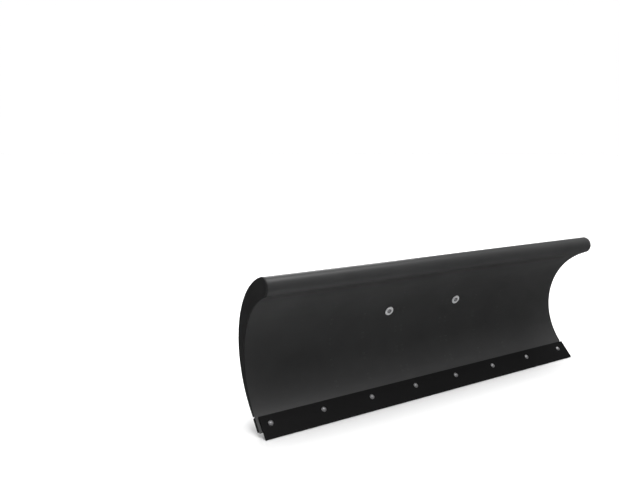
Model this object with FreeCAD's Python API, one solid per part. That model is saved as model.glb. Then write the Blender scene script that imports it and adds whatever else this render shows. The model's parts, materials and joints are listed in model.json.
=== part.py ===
"""ATV plow blade: a curved moldboard with a bolted wear bar, on a spring-trip and angling mount.

Everything is drawn in millimetres from the wear bar's lower front edge: X runs along the blade,
Y runs from the blade's face back to the vehicle, and Z is up from the ground. The blade's face
looks along -Y, and left and right are as seen from the front, so left is -X. The last step slides
every piece along Y, so that the origin is under the middle of the whole assembly.
"""
import FreeCAD, Part
import math
import os

Vector = FreeCAD.Vector
X_AXIS = Vector(1, 0, 0)
Y_AXIS = Vector(0, 1, 0)
Z_AXIS = Vector(0, 0, 1)

# Wear bar: the flat replaceable edge, leaning back from the ground. It is bolted on a little to
# the right, so the moldboard shows beside its left end.
WEAR_LENGTH = 1534.0
WEAR_SHIFT = 8.0
WEAR_WIDTH = 80.0
WEAR_THICKNESS = 6.0
LEAN = 45.0
WEAR_BOLT_COUNT = 8
WEAR_BOLT_HEIGHT = 50.0
WEAR_BOLT_SPAN = 1448.0

# Moldboard: one bent sheet, flat behind the wear bar, then an arc, then the rolled top edge.
SHEET_LENGTH = 1540.0
SHEET_THICKNESS = 3.0
SHEET_START = 27.0
ARC_START = 80.5
ARC_RADIUS = 265.5
ARC_TOP = 69.0
ROLL_RADIUS = 33.0
ROLL_END = -35.0
END_PLATE_THICKNESS = 5.0
END_REAR_Y = 180.0
END_REAR_Z = 294.0
END_LOWER_RADIUS = 302.0

# Backing bar behind the lower edge.
BACKING_LENGTH = 1538.0
BACKING_THICKNESS = 18.0
BACKING_START = 36.0
BACKING_END = 85.0

# Ribs behind the moldboard: plates on its rear face.
RIB_THICKNESS = 6.0
RIB_DEPTH = 40.0
RIB_BOTTOM = -39.0
RIB_TOP = 52.0
RIB_MID_X = 285.0
RIB_OUTER_X = 430.0
ARM_TOP = -14.0
ARM_EDGE = 6.0
TIE_THICKNESS = 6.0
TIE_BOTTOM = 33.0
TIE_TOP = 42.0
TIE_OVERHANG = 20.0

# Trip hinge: two lugs of the swivel frame between two pairs of rib ears.
HINGE_Y = 135.0
HINGE_Z = 90.0
HINGE_PIN_RADIUS = 8.0
RUNNING_GAP = 0.08
EAR_RADIUS = 24.0
EAR_TOP = -11.0
EAR_STOP_LOW = 14.0
EAR_STOP_HIGH = 46.0
LUG_X = 114.0
LUG_THICKNESS = 20.0
LUG_RADIUS = 20.0
LUG_SIDE_GAP = 1.0
STOP_GAP = 0.5
TRIP_HEAD_RADIUS = 12.0
TRIP_HEAD = 5.0
TRIP_HEAD_GAP = 0.3
TRIP_END = 13.0
TRIP_CLIP_REACH = 7.0
TRIP_CLIP_WIRE = 2.0
TRIP_CLIP_HALF_LENGTH = 14.0
TRIP_CLIP_RING = 7.0

# Swivel frame: a square cross tube with a sector plate and a kingpin hub behind it.
TUBE_SIZE = 50.0
TUBE_WALL = 4.0
TUBE_FRONT = 176.0
TUBE_HALF_LENGTH = 200.0
TUBE_CORNER = 5.0
CAP_THICKNESS = 3.0
CAP_INSET = 1.0
CAP_CORNER = 4.0
SECTOR_THICKNESS = 10.0
SECTOR_RADIUS = 130.0
SECTOR_HALF_ANGLE = 47.0
LOCK_CIRCLE = 112.0
LOCK_STEP = 15.0
KINGPIN_Y = 281.0
KINGPIN_RADIUS = 10.0
KINGPIN_WASHER_RADIUS = 18.5
KINGPIN_WASHER = 3.0
KINGPIN_END = 26.0
HUB_RADIUS = 22.0
HUB_HEIGHT = 40.0

# Push head: the clevis that the vehicle's push frame bolts to.
CLEVIS_GAP = 41.0
HEAD_PLATE = 8.0
HEAD_NOSE_RADIUS = 36.0
HEAD_HALF_WIDTH = 60.0
FLANGE_FRONT = 430.0
FLANGE_THICKNESS = 10.0
FLANGE_HALF_WIDTH = 80.0
FLANGE_HALF_HEIGHT = 56.0
FLANGE_CORNER = 8.0
FLANGE_BOLT_X = 60.0
FLANGE_BOLT_Z = 42.0
FLANGE_HOLE_RADIUS = 6.5
GUSSET_X = 39.0
GUSSET_THICKNESS = 6.0
GUSSET_LENGTH = 78.0
GUSSET_HEIGHT = 30.0

# Lock pin in its housing on the push head, drawn up out of the sector plate.
LOCK_PIN_RADIUS = 8.0
LOCK_PIN_PARKED = 2.0
LOCK_TRAVEL = 34.0
LOCK_HOLE_RADIUS = 8.4
HOUSING_RADIUS = 17.0
HOUSING_BORE = 13.0
HOUSING_HEIGHT = 69.5
HOUSING_CAP = 6.0
COLLAR_RADIUS = 12.5
COLLAR_THICKNESS = 6.0
LOCK_SPRING_LENGTH = 21.5
LOCK_SPRING_GAP = 0.5
HANDLE_GAP = 6.0
HANDLE_RADIUS = 4.0
HANDLE_BALL = 6.0
HANDLE_HALF_LENGTH = 38.0
PIN_CHAMFER = 1.5

# Trip springs: extension springs from the brackets on the moldboard down to the cross tube.
SPRING_X = 171.0
FACE_BOLT_ANGLE = 17.4
ANCHOR_ANGLE = 14.0
ANCHOR_REACH = 41.0
TAB_Y = 258.0
TAB_Z = 108.0
SPRING_WIRE = 3.0
SPRING_RADIUS = 17.0
SPRING_BORE = 11.0
HOOK_RADIUS_UPPER = 10.5
HOOK_RADIUS_LOWER = 12.0
HOOK_LENGTH = 30.0
HOOK_DISC = 5.0
BRACKET_HALF_ANGLE = 6.0
BRACKET_BASE = 6.0
BRACKET_HALF_GAP = 16.0
BRACKET_EYE = 13.0
TAB_HALF_GAP = 14.0
TAB_THICKNESS = 6.0
TAB_RADIUS = 15.0
TAB_ROOT_HIGH = 22.0
TAB_ROOT_LOW = 14.0
FACE_WASHER_RADIUS = 18.0
FACE_WASHER_THICKNESS = 2.5
FACE_HEAD_RADIUS = 9.0
FACE_HEAD_HEIGHT = 4.0

# Skid shoes: cast dishes on stems, clamped in sockets on the outer ribs.
SKID_Y = 200.0
SHOE_RADIUS = 52.0
SHOE_HEIGHT = 36.0
SHOE_FOOT = 36.0
SHOE_FLARE = Vector(46, 0, 3.2)
SHOE_RIM_LOW = 11.0
SHOE_RIM_HIGH = 15.0
SHOE_RIM_WIDTH = 3.0
SHOE_DISH = Vector(34, 0, 14)
SHOE_HUB = 17.0
SHOE_HUB_ROOT = 21.0
STEM_RADIUS = 9.5
STEM_BOTTOM = 8.0
STEM_TOP = 186.0
SOCKET_RADIUS = 16.0
SOCKET_BOTTOM = 72.0
SOCKET_TOP = 132.0
CLAMP_STANDOFF = 18.0
CLAMP_GAP = 0.1
CLIP_Z = 168.0
CLIP_RADIUS = 3.0
CLIP_REACH_IN = 16.0
CLIP_REACH_OUT = 20.0
CLIP_HEAD = 6.0
CLIP_HEAD_RADIUS = 5.5
CLIP_RING = 14.0
CLIP_RING_WIRE = 1.4

# Fastener proportions.
M8 = 4.0
M10 = 5.0
CARRIAGE_HEAD_RADIUS = 9.5
CARRIAGE_HEAD_HEIGHT = 4.5
HEX_FLATS = 1.7
HEX_HEAD_HEIGHT = 1.3
NUT_HEIGHT = 0.85
HOLE_GAP = 0.5
THREAD_END = 2.5
THROUGH = 60.0


def yz(y, z):
    return Vector(0, y, z)


def towards(degrees):
    """Unit direction in the side view, at an angle above the rearward level."""
    angle = math.radians(degrees)
    return yz(math.cos(angle), math.sin(angle))


UP_BAR = towards(90 - LEAN)
THROUGH_BAR = towards(-LEAN)
BAR_CORNER = yz(0, WEAR_THICKNESS * math.sin(math.radians(LEAN)))


def on_bar(up, through):
    """Point at a distance up the wear bar's face and a distance behind that face."""
    return BAR_CORNER + UP_BAR * up + THROUGH_BAR * through


ARC_CENTRE = on_bar(ARC_START, WEAR_THICKNESS) - THROUGH_BAR * ARC_RADIUS
REAR_RADIUS = ARC_RADIUS + SHEET_THICKNESS
ROLL_CENTRE = ARC_CENTRE + towards(ARC_TOP) * (ARC_RADIUS + ROLL_RADIUS)
HINGE = yz(HINGE_Y, HINGE_Z)
SPRING_UPPER = ARC_CENTRE + towards(ANCHOR_ANGLE) * (REAR_RADIUS + ANCHOR_REACH)
SPRING_LOWER = yz(TAB_Y, TAB_Z)
SPRING_LENGTH = (SPRING_LOWER - SPRING_UPPER).Length
SPRING_LINE = (SPRING_LOWER - SPRING_UPPER) * (1 / SPRING_LENGTH)
LOCK_Y = KINGPIN_Y + LOCK_CIRCLE
CLEVIS_TOP = HINGE_Z + CLEVIS_GAP / 2
CLEVIS_BOTTOM = HINGE_Z - CLEVIS_GAP / 2
HOUSING_BASE = CLEVIS_TOP + HEAD_PLATE
HOUSING_TOP = HOUSING_BASE + HOUSING_HEIGHT
SPRING_TOP = HOUSING_TOP - HOUSING_CAP - LOCK_SPRING_GAP
PIN_TIP = HINGE_Z + SECTOR_THICKNESS / 2 + LOCK_PIN_PARKED
COLLAR_TOP = SPRING_TOP - LOCK_SPRING_LENGTH - LOCK_SPRING_GAP
HANDLE_Z = HOUSING_TOP + LOCK_TRAVEL + HANDLE_GAP
FLANGE_REAR = FLANGE_FRONT + FLANGE_THICKNESS
BLADE_FRONT = ROLL_CENTRE.y - ROLL_RADIUS
CENTRE_SHIFT = Vector(0, -(BLADE_FRONT + FLANGE_REAR) / 2, 0)


def about(centre, radius, degrees):
    return centre + towards(degrees) * radius


def polar(radius, degrees):
    """Point in the side view, by its distance and angle from the moldboard's arc centre."""
    return about(ARC_CENTRE, radius, degrees)


def arc(centre, radius, start, end):
    """Middle and end points of an arc, as an outline step."""
    return about(centre, radius, (start + end) / 2), about(centre, radius, end)


def outline(start, steps):
    """Closed face from a start point and steps: a point is a line, a pair of points an arc."""
    edges = []
    here = start
    for step in [*steps, start]:
        if isinstance(step, tuple):
            edges.append(Part.Arc(here, step[0], step[1]).toShape())
            here = step[1]
        elif (step - here).Length > 1e-6:
            edges.append(Part.LineSegment(here, step).toShape())
            here = step
    return Part.Face(Part.Wire(edges))


def prism(face, x_first, x_second):
    """Solid of a side-view outline between two places along the blade."""
    low = min(x_first, x_second)
    solid = face.extrude(X_AXIS * abs(x_second - x_first))
    solid.translate(X_AXIS * low)
    return solid


def plate(face, x_middle, thickness):
    return prism(face, x_middle - thickness / 2, x_middle + thickness / 2)


def slab(face, z_low, height):
    """Solid of a plan-view outline, raised from a level."""
    solid = face.extrude(Z_AXIS * height)
    solid.translate(Z_AXIS * z_low)
    return solid


def band(inner, outer, low, high):
    """Side-view strip between two radii and two angles about the moldboard's arc centre."""
    steps = [
        arc(ARC_CENTRE, outer, low, high),
        polar(inner, high),
        arc(ARC_CENTRE, inner, high, low),
    ]
    return outline(polar(outer, low), steps)


def cross_rod(radius, x_first, x_second, centre):
    """Cylinder along X through a side-view point."""
    low = min(x_first, x_second)
    base = Vector(low, centre.y, centre.z)
    return Part.makeCylinder(radius, abs(x_second - x_first), base, X_AXIS)


def upright_rod(radius, z_low, z_high, x, y):
    return Part.makeCylinder(radius, z_high - z_low, Vector(x, y, z_low), Z_AXIS)


def rod(radius, start, direction, length):
    return Part.makeCylinder(radius, length, start, direction)


def eased_rod(radius, z_low, z_high, x, y):
    """Upright rod with chamfered ends."""
    solid = upright_rod(radius, z_low, z_high, x, y)
    round_ends = [edge for edge in solid.Edges if len(edge.Vertexes) == 1]
    return solid.makeChamfer(PIN_CHAMFER, round_ends)


def hexagon(flats, base, direction, height):
    """Hexagonal prism standing on a point."""
    corner = flats / math.sqrt(3)
    points = []
    for index in range(7):
        angle = math.radians(60 * index)
        points.append(Vector(corner * math.cos(angle), corner * math.sin(angle), 0))
    solid = Part.Face(Part.makePolygon(points)).extrude(Z_AXIS * height)
    solid.Placement = FreeCAD.Placement(base, FreeCAD.Rotation(Z_AXIS, direction))
    return solid


def nut(bolt_radius, base, direction):
    height = 2 * bolt_radius * NUT_HEIGHT
    body = hexagon(2 * bolt_radius * HEX_FLATS, base, direction, height)
    return body.cut(rod(bolt_radius, base, direction, height))


def hex_bolt(bolt_radius, seat, direction, length):
    """Hex bolt whose head stands on the seat and whose shank runs along the direction."""
    height = bolt_radius * HEX_HEAD_HEIGHT
    head = hexagon(2 * bolt_radius * HEX_FLATS, seat, direction * -1, height)
    return head.fuse(rod(bolt_radius, seat, direction, length)).removeSplitter()


def washer(outer, inner, base, direction, thickness):
    return rod(outer, base, direction, thickness).cut(rod(inner, base, direction, thickness))


def dome(radius, height, seat, direction):
    """Low round head: a spherical cap that stands on a seat."""
    sphere_radius = (radius * radius + height * height) / (2 * height)
    half_angle = math.asin(radius / sphere_radius) / 2
    middle = Vector(math.sin(half_angle), 0, math.cos(half_angle)) * sphere_radius
    middle.z += height - sphere_radius
    face = outline(Vector(0, 0, 0), [Vector(radius, 0, 0), (middle, Vector(0, 0, height))])
    solid = face.revolve(Vector(0, 0, 0), Z_AXIS, 360)
    solid.Placement = FreeCAD.Placement(seat, FreeCAD.Rotation(Z_AXIS, direction))
    return solid


def ring(centre, normal, radius, wire):
    return Part.makeTorus(radius, wire, centre, normal)


NODES = {}


def node(name, *solids):
    NODES[name] = solids


def node_pair(name, build):
    """One node a side, each from a builder that takes -1 for left and 1 for right."""
    node(f"{name}_left", build(-1))
    node(f"{name}_right", build(1))


def wear_bolt_places():
    """Positions of the wear-bar bolts on the bar's face."""
    pitch = WEAR_BOLT_SPAN / (WEAR_BOLT_COUNT - 1)
    first = -WEAR_BOLT_SPAN / 2
    seat = on_bar(WEAR_BOLT_HEIGHT, 0)
    return [seat + X_AXIS * (first + index * pitch) for index in range(WEAR_BOLT_COUNT)]


def drilled(solid, places, direction, radius):
    """Solid with a hole right through it at each place."""
    for place in places:
        start = place - direction * (THROUGH / 2)
        solid = solid.cut(rod(radius, start, direction, THROUGH))
    return solid


FACE_BOLT_DIRECTION = towards(FACE_BOLT_ANGLE)
FACE_BOLT_PLACES = [
    polar(ARC_RADIUS, FACE_BOLT_ANGLE) + X_AXIS * x
    for x in (-SPRING_X, SPRING_X)
]


def moldboard():
    inner_roll = ROLL_RADIUS - SHEET_THICKNESS
    roll_start = 180 + ARC_TOP
    steps = [
        on_bar(ARC_START, WEAR_THICKNESS),
        arc(ARC_CENTRE, ARC_RADIUS, -LEAN, ARC_TOP),
        arc(ROLL_CENTRE, ROLL_RADIUS, roll_start, ROLL_END),
        about(ROLL_CENTRE, inner_roll, ROLL_END),
        arc(ROLL_CENTRE, inner_roll, ROLL_END, roll_start),
        arc(ARC_CENTRE, REAR_RADIUS, ARC_TOP, -LEAN),
        on_bar(SHEET_START, WEAR_THICKNESS + SHEET_THICKNESS),
    ]
    face = outline(on_bar(SHEET_START, WEAR_THICKNESS), steps)
    sheet = plate(face, 0, SHEET_LENGTH)
    sheet = drilled(sheet, wear_bolt_places(), THROUGH_BAR, M8 + HOLE_GAP)
    return drilled(sheet, FACE_BOLT_PLACES, FACE_BOLT_DIRECTION, M10 + HOLE_GAP)


def end_plate(side):
    """Crescent plate with a disc that closes the end of the rolled edge."""
    lower_centre = yz(END_REAR_Y - END_LOWER_RADIUS, END_REAR_Z)
    gap = ROLL_CENTRE - yz(END_REAR_Y, END_REAR_Z)
    upper_radius = (gap.y ** 2 + gap.z ** 2 - ROLL_RADIUS ** 2) / (-2 * (gap.y + ROLL_RADIUS))
    upper_centre = yz(END_REAR_Y - upper_radius, END_REAR_Z)
    towards_roll = ROLL_CENTRE - upper_centre
    roll_angle = math.degrees(math.atan2(towards_roll.z, towards_roll.y))
    between = lower_centre - ARC_CENTRE
    distance = between.Length
    along = (distance ** 2 + REAR_RADIUS ** 2 - END_LOWER_RADIUS ** 2) / (2 * distance)
    opening = math.degrees(math.acos(along / REAR_RADIUS))
    foot_angle = math.degrees(math.atan2(between.z, between.y)) - opening
    foot = polar(REAR_RADIUS, foot_angle)
    from_lower = foot - lower_centre
    foot_on_lower = math.degrees(math.atan2(from_lower.z, from_lower.y))
    steps = [
        arc(lower_centre, END_LOWER_RADIUS, foot_on_lower, 0),
        arc(upper_centre, upper_radius, 0, roll_angle),
        arc(ROLL_CENTRE, ROLL_RADIUS, roll_angle, 180 + ARC_TOP),
        arc(ARC_CENTRE, ARC_RADIUS, ARC_TOP, foot_angle),
    ]
    inside = side * SHEET_LENGTH / 2
    return prism(outline(foot, steps), inside, inside + side * END_PLATE_THICKNESS)


def wear_bar():
    corners = [(0, WEAR_THICKNESS), (WEAR_WIDTH, WEAR_THICKNESS), (WEAR_WIDTH, 0)]
    face = outline(on_bar(0, 0), [on_bar(*corner) for corner in corners])
    bar = plate(face, WEAR_SHIFT, WEAR_LENGTH)
    return drilled(bar, wear_bolt_places(), THROUGH_BAR, M8 + HOLE_GAP)


def backing_bar():
    front = WEAR_THICKNESS + SHEET_THICKNESS
    rear = front + BACKING_THICKNESS
    corners = [(BACKING_START, rear), (BACKING_END, rear), (BACKING_END, front)]
    face = outline(on_bar(BACKING_START, front), [on_bar(*corner) for corner in corners])
    bar = plate(face, 0, BACKING_LENGTH)
    return drilled(bar, wear_bolt_places(), THROUGH_BAR, M8 + HOLE_GAP)


def wear_bolts():
    """Carriage bolts through the wear bar, sheet and backing bar, and their nuts."""
    clamp = WEAR_THICKNESS + SHEET_THICKNESS + BACKING_THICKNESS
    bolts = []
    nuts = []
    for place in wear_bolt_places():
        head = dome(CARRIAGE_HEAD_RADIUS, CARRIAGE_HEAD_HEIGHT, place, THROUGH_BAR * -1)
        shank = rod(M8, place, THROUGH_BAR, clamp + THREAD_END * M8)
        bolts.append(head.fuse(shank))
        nuts.append(nut(M8, place + THROUGH_BAR * clamp, THROUGH_BAR))
    node("wear_bar_bolts", *bolts)
    node("wear_bar_nuts", *nuts)


def rib(x, ear=False, arm=False):
    """Plate on the moldboard's rear face, with a hinge ear or a skid arm where asked."""
    face = band(REAR_RADIUS, REAR_RADIUS + RIB_DEPTH, RIB_BOTTOM, RIB_TOP)
    solid = plate(face, x, RIB_THICKNESS)
    inside = REAR_RADIUS + RIB_DEPTH / 4
    if ear:
        stop = TUBE_FRONT - STOP_GAP
        points = [
            HINGE - Z_AXIS * EAR_RADIUS,
            HINGE + yz(EAR_RADIUS, 0),
            yz(stop, HINGE_Z + EAR_STOP_LOW),
            yz(stop, HINGE_Z + EAR_STOP_HIGH),
            polar(REAR_RADIUS + RIB_DEPTH, EAR_TOP),
            polar(inside, EAR_TOP),
            arc(ARC_CENTRE, inside, EAR_TOP, RIB_BOTTOM),
        ]
        cheek = plate(outline(polar(inside, RIB_BOTTOM), points), x, RIB_THICKNESS)
        boss = cross_rod(EAR_RADIUS, x - RIB_THICKNESS / 2, x + RIB_THICKNESS / 2, HINGE)
        solid = solid.fuse([cheek, boss])
        pin_hole = HINGE_PIN_RADIUS + RUNNING_GAP
        solid = solid.cut(cross_rod(pin_hole, x - RIB_THICKNESS, x + RIB_THICKNESS, HINGE))
    if arm:
        points = [
            yz(SKID_Y, SOCKET_BOTTOM + ARM_EDGE),
            yz(SKID_Y, SOCKET_TOP - ARM_EDGE),
            polar(REAR_RADIUS + RIB_DEPTH, ARM_TOP),
            polar(inside, ARM_TOP),
            arc(ARC_CENTRE, inside, ARM_TOP, RIB_BOTTOM),
        ]
        cheek = plate(outline(polar(inside, RIB_BOTTOM), points), x, RIB_THICKNESS)
        solid = solid.fuse(cheek)
        solid = solid.cut(upright_rod(SOCKET_RADIUS, 0, STEM_TOP, x, SKID_Y))
    return solid.removeSplitter()


def ribs():
    ear_offset = LUG_THICKNESS / 2 + LUG_SIDE_GAP + RIB_THICKNESS / 2
    node_pair("hinge_rib_inner", lambda side: rib(side * (LUG_X - ear_offset), ear=True))
    node_pair("hinge_rib_outer", lambda side: rib(side * (LUG_X + ear_offset), ear=True))
    node_pair("rib_mid", lambda side: rib(side * RIB_MID_X))
    node_pair("rib_outer", lambda side: rib(side * RIB_OUTER_X, arm=True))
    inner = REAR_RADIUS + RIB_DEPTH
    tie = band(inner, inner + TIE_THICKNESS, TIE_BOTTOM, TIE_TOP)
    node("tie_bar", plate(tie, 0, 2 * (RIB_OUTER_X + TIE_OVERHANG)))


def face_fasteners():
    """The two bolts through the face that hold the spring brackets."""
    bolts = []
    washers = []
    nuts = []
    behind = SHEET_THICKNESS + BRACKET_BASE
    length = behind + 2 * M10 * NUT_HEIGHT + M10
    out = FACE_BOLT_DIRECTION * -1
    hole = M10 + HOLE_GAP
    for place in FACE_BOLT_PLACES:
        washer_seat = place + out * FACE_WASHER_RADIUS ** 2 / (2 * ARC_RADIUS)
        washers.append(washer(FACE_WASHER_RADIUS, hole, washer_seat, out, FACE_WASHER_THICKNESS))
        head_seat = washer_seat + out * FACE_WASHER_THICKNESS
        head = dome(FACE_HEAD_RADIUS, FACE_HEAD_HEIGHT, head_seat, out)
        bolts.append(head.fuse(rod(M10, head_seat, FACE_BOLT_DIRECTION, length)))
        nuts.append(nut(M10, place + FACE_BOLT_DIRECTION * behind, FACE_BOLT_DIRECTION))
    node("face_bolts", *bolts)
    node("face_washers", *washers)
    node("face_nuts", *nuts)


def spring_bracket(side):
    """Channel on the moldboard's rear face that carries a trip spring's upper bolt."""
    middle = side * SPRING_X
    low = FACE_BOLT_ANGLE - BRACKET_HALF_ANGLE
    high = FACE_BOLT_ANGLE + BRACKET_HALF_ANGLE
    base_outer = REAR_RADIUS + BRACKET_BASE
    width = 2 * (BRACKET_HALF_GAP + BRACKET_BASE)
    solid = plate(band(REAR_RADIUS, base_outer, low, high), middle, width)
    web = band(base_outer - 1, REAR_RADIUS + ANCHOR_REACH, low, high)
    for offset in (-1, 1):
        x = middle + offset * (BRACKET_HALF_GAP + BRACKET_BASE / 2)
        eye = cross_rod(BRACKET_EYE, x - BRACKET_BASE / 2, x + BRACKET_BASE / 2, SPRING_UPPER)
        solid = solid.fuse([plate(web, x, BRACKET_BASE), eye])
    solid = solid.cut(cross_rod(M10 + HOLE_GAP, middle - width, middle + width, SPRING_UPPER))
    solid = drilled(solid, FACE_BOLT_PLACES, FACE_BOLT_DIRECTION, M10 + HOLE_GAP)
    return solid.removeSplitter()


def anchor_bolts(half_gap, cheek, centre):
    """A bolt and nut across each pair of cheeks that a spring hook hangs in."""
    bolts = []
    nuts = []
    reach = half_gap + cheek
    for side in (-1, 1):
        out = X_AXIS * side
        seat = centre + X_AXIS * (side * (SPRING_X + reach))
        far = centre + X_AXIS * (side * (SPRING_X - reach))
        bolts.append(hex_bolt(M10, seat, out * -1, 2 * reach + THREAD_END * M10))
        nuts.append(nut(M10, far, out * -1))
    return bolts, nuts


def spring_hook(side, centre, direction, hook_radius):
    """Loop round an anchor bolt, with the neck and end disc that join it to the coil."""
    place = centre + X_AXIS * (side * SPRING_X)
    loop = ring(place, X_AXIS, hook_radius, SPRING_WIRE)
    neck_start = place + direction * hook_radius
    neck = rod(SPRING_WIRE, neck_start, direction, HOOK_LENGTH - hook_radius)
    disc = rod(SPRING_RADIUS, place + direction * HOOK_LENGTH, direction, HOOK_DISC)
    return loop.fuse([neck, disc])


def spring_coil(side):
    start = SPRING_UPPER + X_AXIS * (side * SPRING_X) + SPRING_LINE * (HOOK_LENGTH + HOOK_DISC)
    length = SPRING_LENGTH - 2 * (HOOK_LENGTH + HOOK_DISC)
    return washer(SPRING_RADIUS, SPRING_BORE, start, SPRING_LINE, length)


def trip_springs():
    node_pair("spring_bracket", spring_bracket)
    bolts, nuts = anchor_bolts(BRACKET_HALF_GAP, BRACKET_BASE, SPRING_UPPER)
    node("spring_anchor_bolts", *bolts)
    node("spring_anchor_nuts", *nuts)
    ends = [
        ("spring_hook_upper", SPRING_UPPER, SPRING_LINE, HOOK_RADIUS_UPPER),
        ("spring_hook_lower", SPRING_LOWER, SPRING_LINE * -1, HOOK_RADIUS_LOWER),
    ]
    for name, centre, direction, radius in ends:
        node(f"{name}_left", spring_hook(-1, centre, direction, radius))
        node(f"{name}_right", spring_hook(1, centre, direction, radius))
    node_pair("spring_coil", spring_coil)


def trip_pins():
    """Clevis pins of the trip hinge, with a clip through each pin's outer end."""
    half = LUG_THICKNESS / 2 + LUG_SIDE_GAP + RIB_THICKNESS
    pins = []
    clips = []
    leg_length = 2 * TRIP_CLIP_HALF_LENGTH
    for side in (-1, 1):
        inner = side * (LUG_X - half - TRIP_HEAD_GAP)
        outer = side * (LUG_X + half + TRIP_END)
        clip_x = side * (LUG_X + half + TRIP_CLIP_REACH)
        head = cross_rod(TRIP_HEAD_RADIUS, inner - side * TRIP_HEAD, inner, HINGE)
        shank = cross_rod(HINGE_PIN_RADIUS, inner, outer, HINGE)
        clip_low = HINGE + X_AXIS * clip_x - Z_AXIS * TRIP_CLIP_HALF_LENGTH
        pin_hole = rod(TRIP_CLIP_WIRE + RUNNING_GAP, clip_low, Z_AXIS, leg_length)
        pins.append(head.fuse(shank).cut(pin_hole))
        leg = rod(TRIP_CLIP_WIRE, clip_low, Z_AXIS, leg_length)
        ring_centre = clip_low + Z_AXIS * (leg_length + TRIP_CLIP_RING - TRIP_CLIP_WIRE)
        clips.append(leg.fuse(ring(ring_centre, X_AXIS, TRIP_CLIP_RING, TRIP_CLIP_WIRE)))
    node("trip_pins", *pins)
    node("trip_pin_clips", *clips)


def swivel_tube():
    low = yz(TUBE_FRONT, HINGE_Z - TUBE_SIZE / 2)
    base = low - X_AXIS * TUBE_HALF_LENGTH
    outer = Part.makeBox(2 * TUBE_HALF_LENGTH, TUBE_SIZE, TUBE_SIZE, base)
    long_edges = [edge for edge in outer.Edges if edge.Length > TUBE_SIZE + 1]
    outer = outer.makeFillet(TUBE_CORNER, long_edges)
    bore = TUBE_SIZE - 2 * TUBE_WALL
    wall = yz(TUBE_WALL, TUBE_WALL)
    return outer.cut(Part.makeBox(2 * TUBE_HALF_LENGTH, bore, bore, base + wall))


def tube_caps():
    caps = []
    width = TUBE_SIZE - 2 * CAP_INSET
    corner = yz(TUBE_FRONT + CAP_INSET, HINGE_Z - TUBE_SIZE / 2 + CAP_INSET)
    for x in (-TUBE_HALF_LENGTH - CAP_THICKNESS, TUBE_HALF_LENGTH):
        cap = Part.makeBox(CAP_THICKNESS, width, width, corner + X_AXIS * x)
        short_edges = [edge for edge in cap.Edges if edge.Length < CAP_THICKNESS + 1]
        caps.append(cap.makeFillet(CAP_CORNER, short_edges))
    node("swivel_tube_caps", *caps)


def swivel_lug(side):
    """Hinge lug on the front of the cross tube."""
    points = [
        HINGE + Z_AXIS * LUG_RADIUS,
        yz(TUBE_FRONT, HINGE_Z + LUG_RADIUS - 1),
        yz(TUBE_FRONT, HINGE_Z - LUG_RADIUS + 1),
    ]
    x = side * LUG_X
    body = plate(outline(HINGE - Z_AXIS * LUG_RADIUS, points), x, LUG_THICKNESS)
    boss = cross_rod(LUG_RADIUS, x - LUG_THICKNESS / 2, x + LUG_THICKNESS / 2, HINGE)
    bore = cross_rod(HINGE_PIN_RADIUS + RUNNING_GAP, x - LUG_THICKNESS, x + LUG_THICKNESS, HINGE)
    return body.fuse(boss).cut(bore).removeSplitter()


def sector_point(radius, degrees):
    """Plan-view point about the kingpin, at an angle from straight back."""
    angle = math.radians(degrees)
    return Vector(radius * math.sin(angle), KINGPIN_Y + radius * math.cos(angle), 0)


def sector_plate():
    rear = TUBE_FRONT + TUBE_SIZE
    left = sector_point(SECTOR_RADIUS, -SECTOR_HALF_ANGLE)
    right = sector_point(SECTOR_RADIUS, SECTOR_HALF_ANGLE)
    points = [right, (sector_point(SECTOR_RADIUS, 0), left), Vector(left.x, rear, 0)]
    face = outline(Vector(right.x, rear, 0), points)
    low = HINGE_Z - SECTOR_THICKNESS / 2
    solid = slab(face, low, SECTOR_THICKNESS)
    solid = solid.cut(upright_rod(HUB_RADIUS, low, low + SECTOR_THICKNESS, 0, KINGPIN_Y))
    for step in range(-2, 3):
        hole = sector_point(LOCK_CIRCLE, step * LOCK_STEP)
        drill = upright_rod(LOCK_HOLE_RADIUS, low, low + SECTOR_THICKNESS, hole.x, hole.y)
        solid = solid.cut(drill)
    return solid


def kingpin_hub():
    low = HINGE_Z - HUB_HEIGHT / 2
    high = HINGE_Z + HUB_HEIGHT / 2
    hub = upright_rod(HUB_RADIUS, low, high, 0, KINGPIN_Y)
    return hub.cut(upright_rod(KINGPIN_RADIUS + RUNNING_GAP, low, high, 0, KINGPIN_Y))


def spring_tabs():
    """Two cheeks a side, behind the cross tube, for the springs' lower bolts."""
    rear = TUBE_FRONT + TUBE_SIZE
    points = [
        yz(rear, HINGE_Z + TAB_ROOT_HIGH),
        SPRING_LOWER + Z_AXIS * TAB_RADIUS,
        SPRING_LOWER - Z_AXIS * TAB_RADIUS,
    ]
    face = outline(yz(rear, HINGE_Z - TAB_ROOT_LOW), points)
    tabs = []
    for side in (-1, 1):
        for offset in (-1, 1):
            x = side * SPRING_X + offset * (TAB_HALF_GAP + TAB_THICKNESS / 2)
            eye = cross_rod(TAB_RADIUS, x - TAB_THICKNESS / 2, x + TAB_THICKNESS / 2, SPRING_LOWER)
            hole = cross_rod(M10 + HOLE_GAP, x - TAB_THICKNESS, x + TAB_THICKNESS, SPRING_LOWER)
            tabs.append(plate(face, x, TAB_THICKNESS).fuse(eye).cut(hole).removeSplitter())
    node("spring_tabs", *tabs)
    bolts, nuts = anchor_bolts(TAB_HALF_GAP, TAB_THICKNESS, SPRING_LOWER)
    node("spring_tab_bolts", *bolts)
    node("spring_tab_nuts", *nuts)


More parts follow.
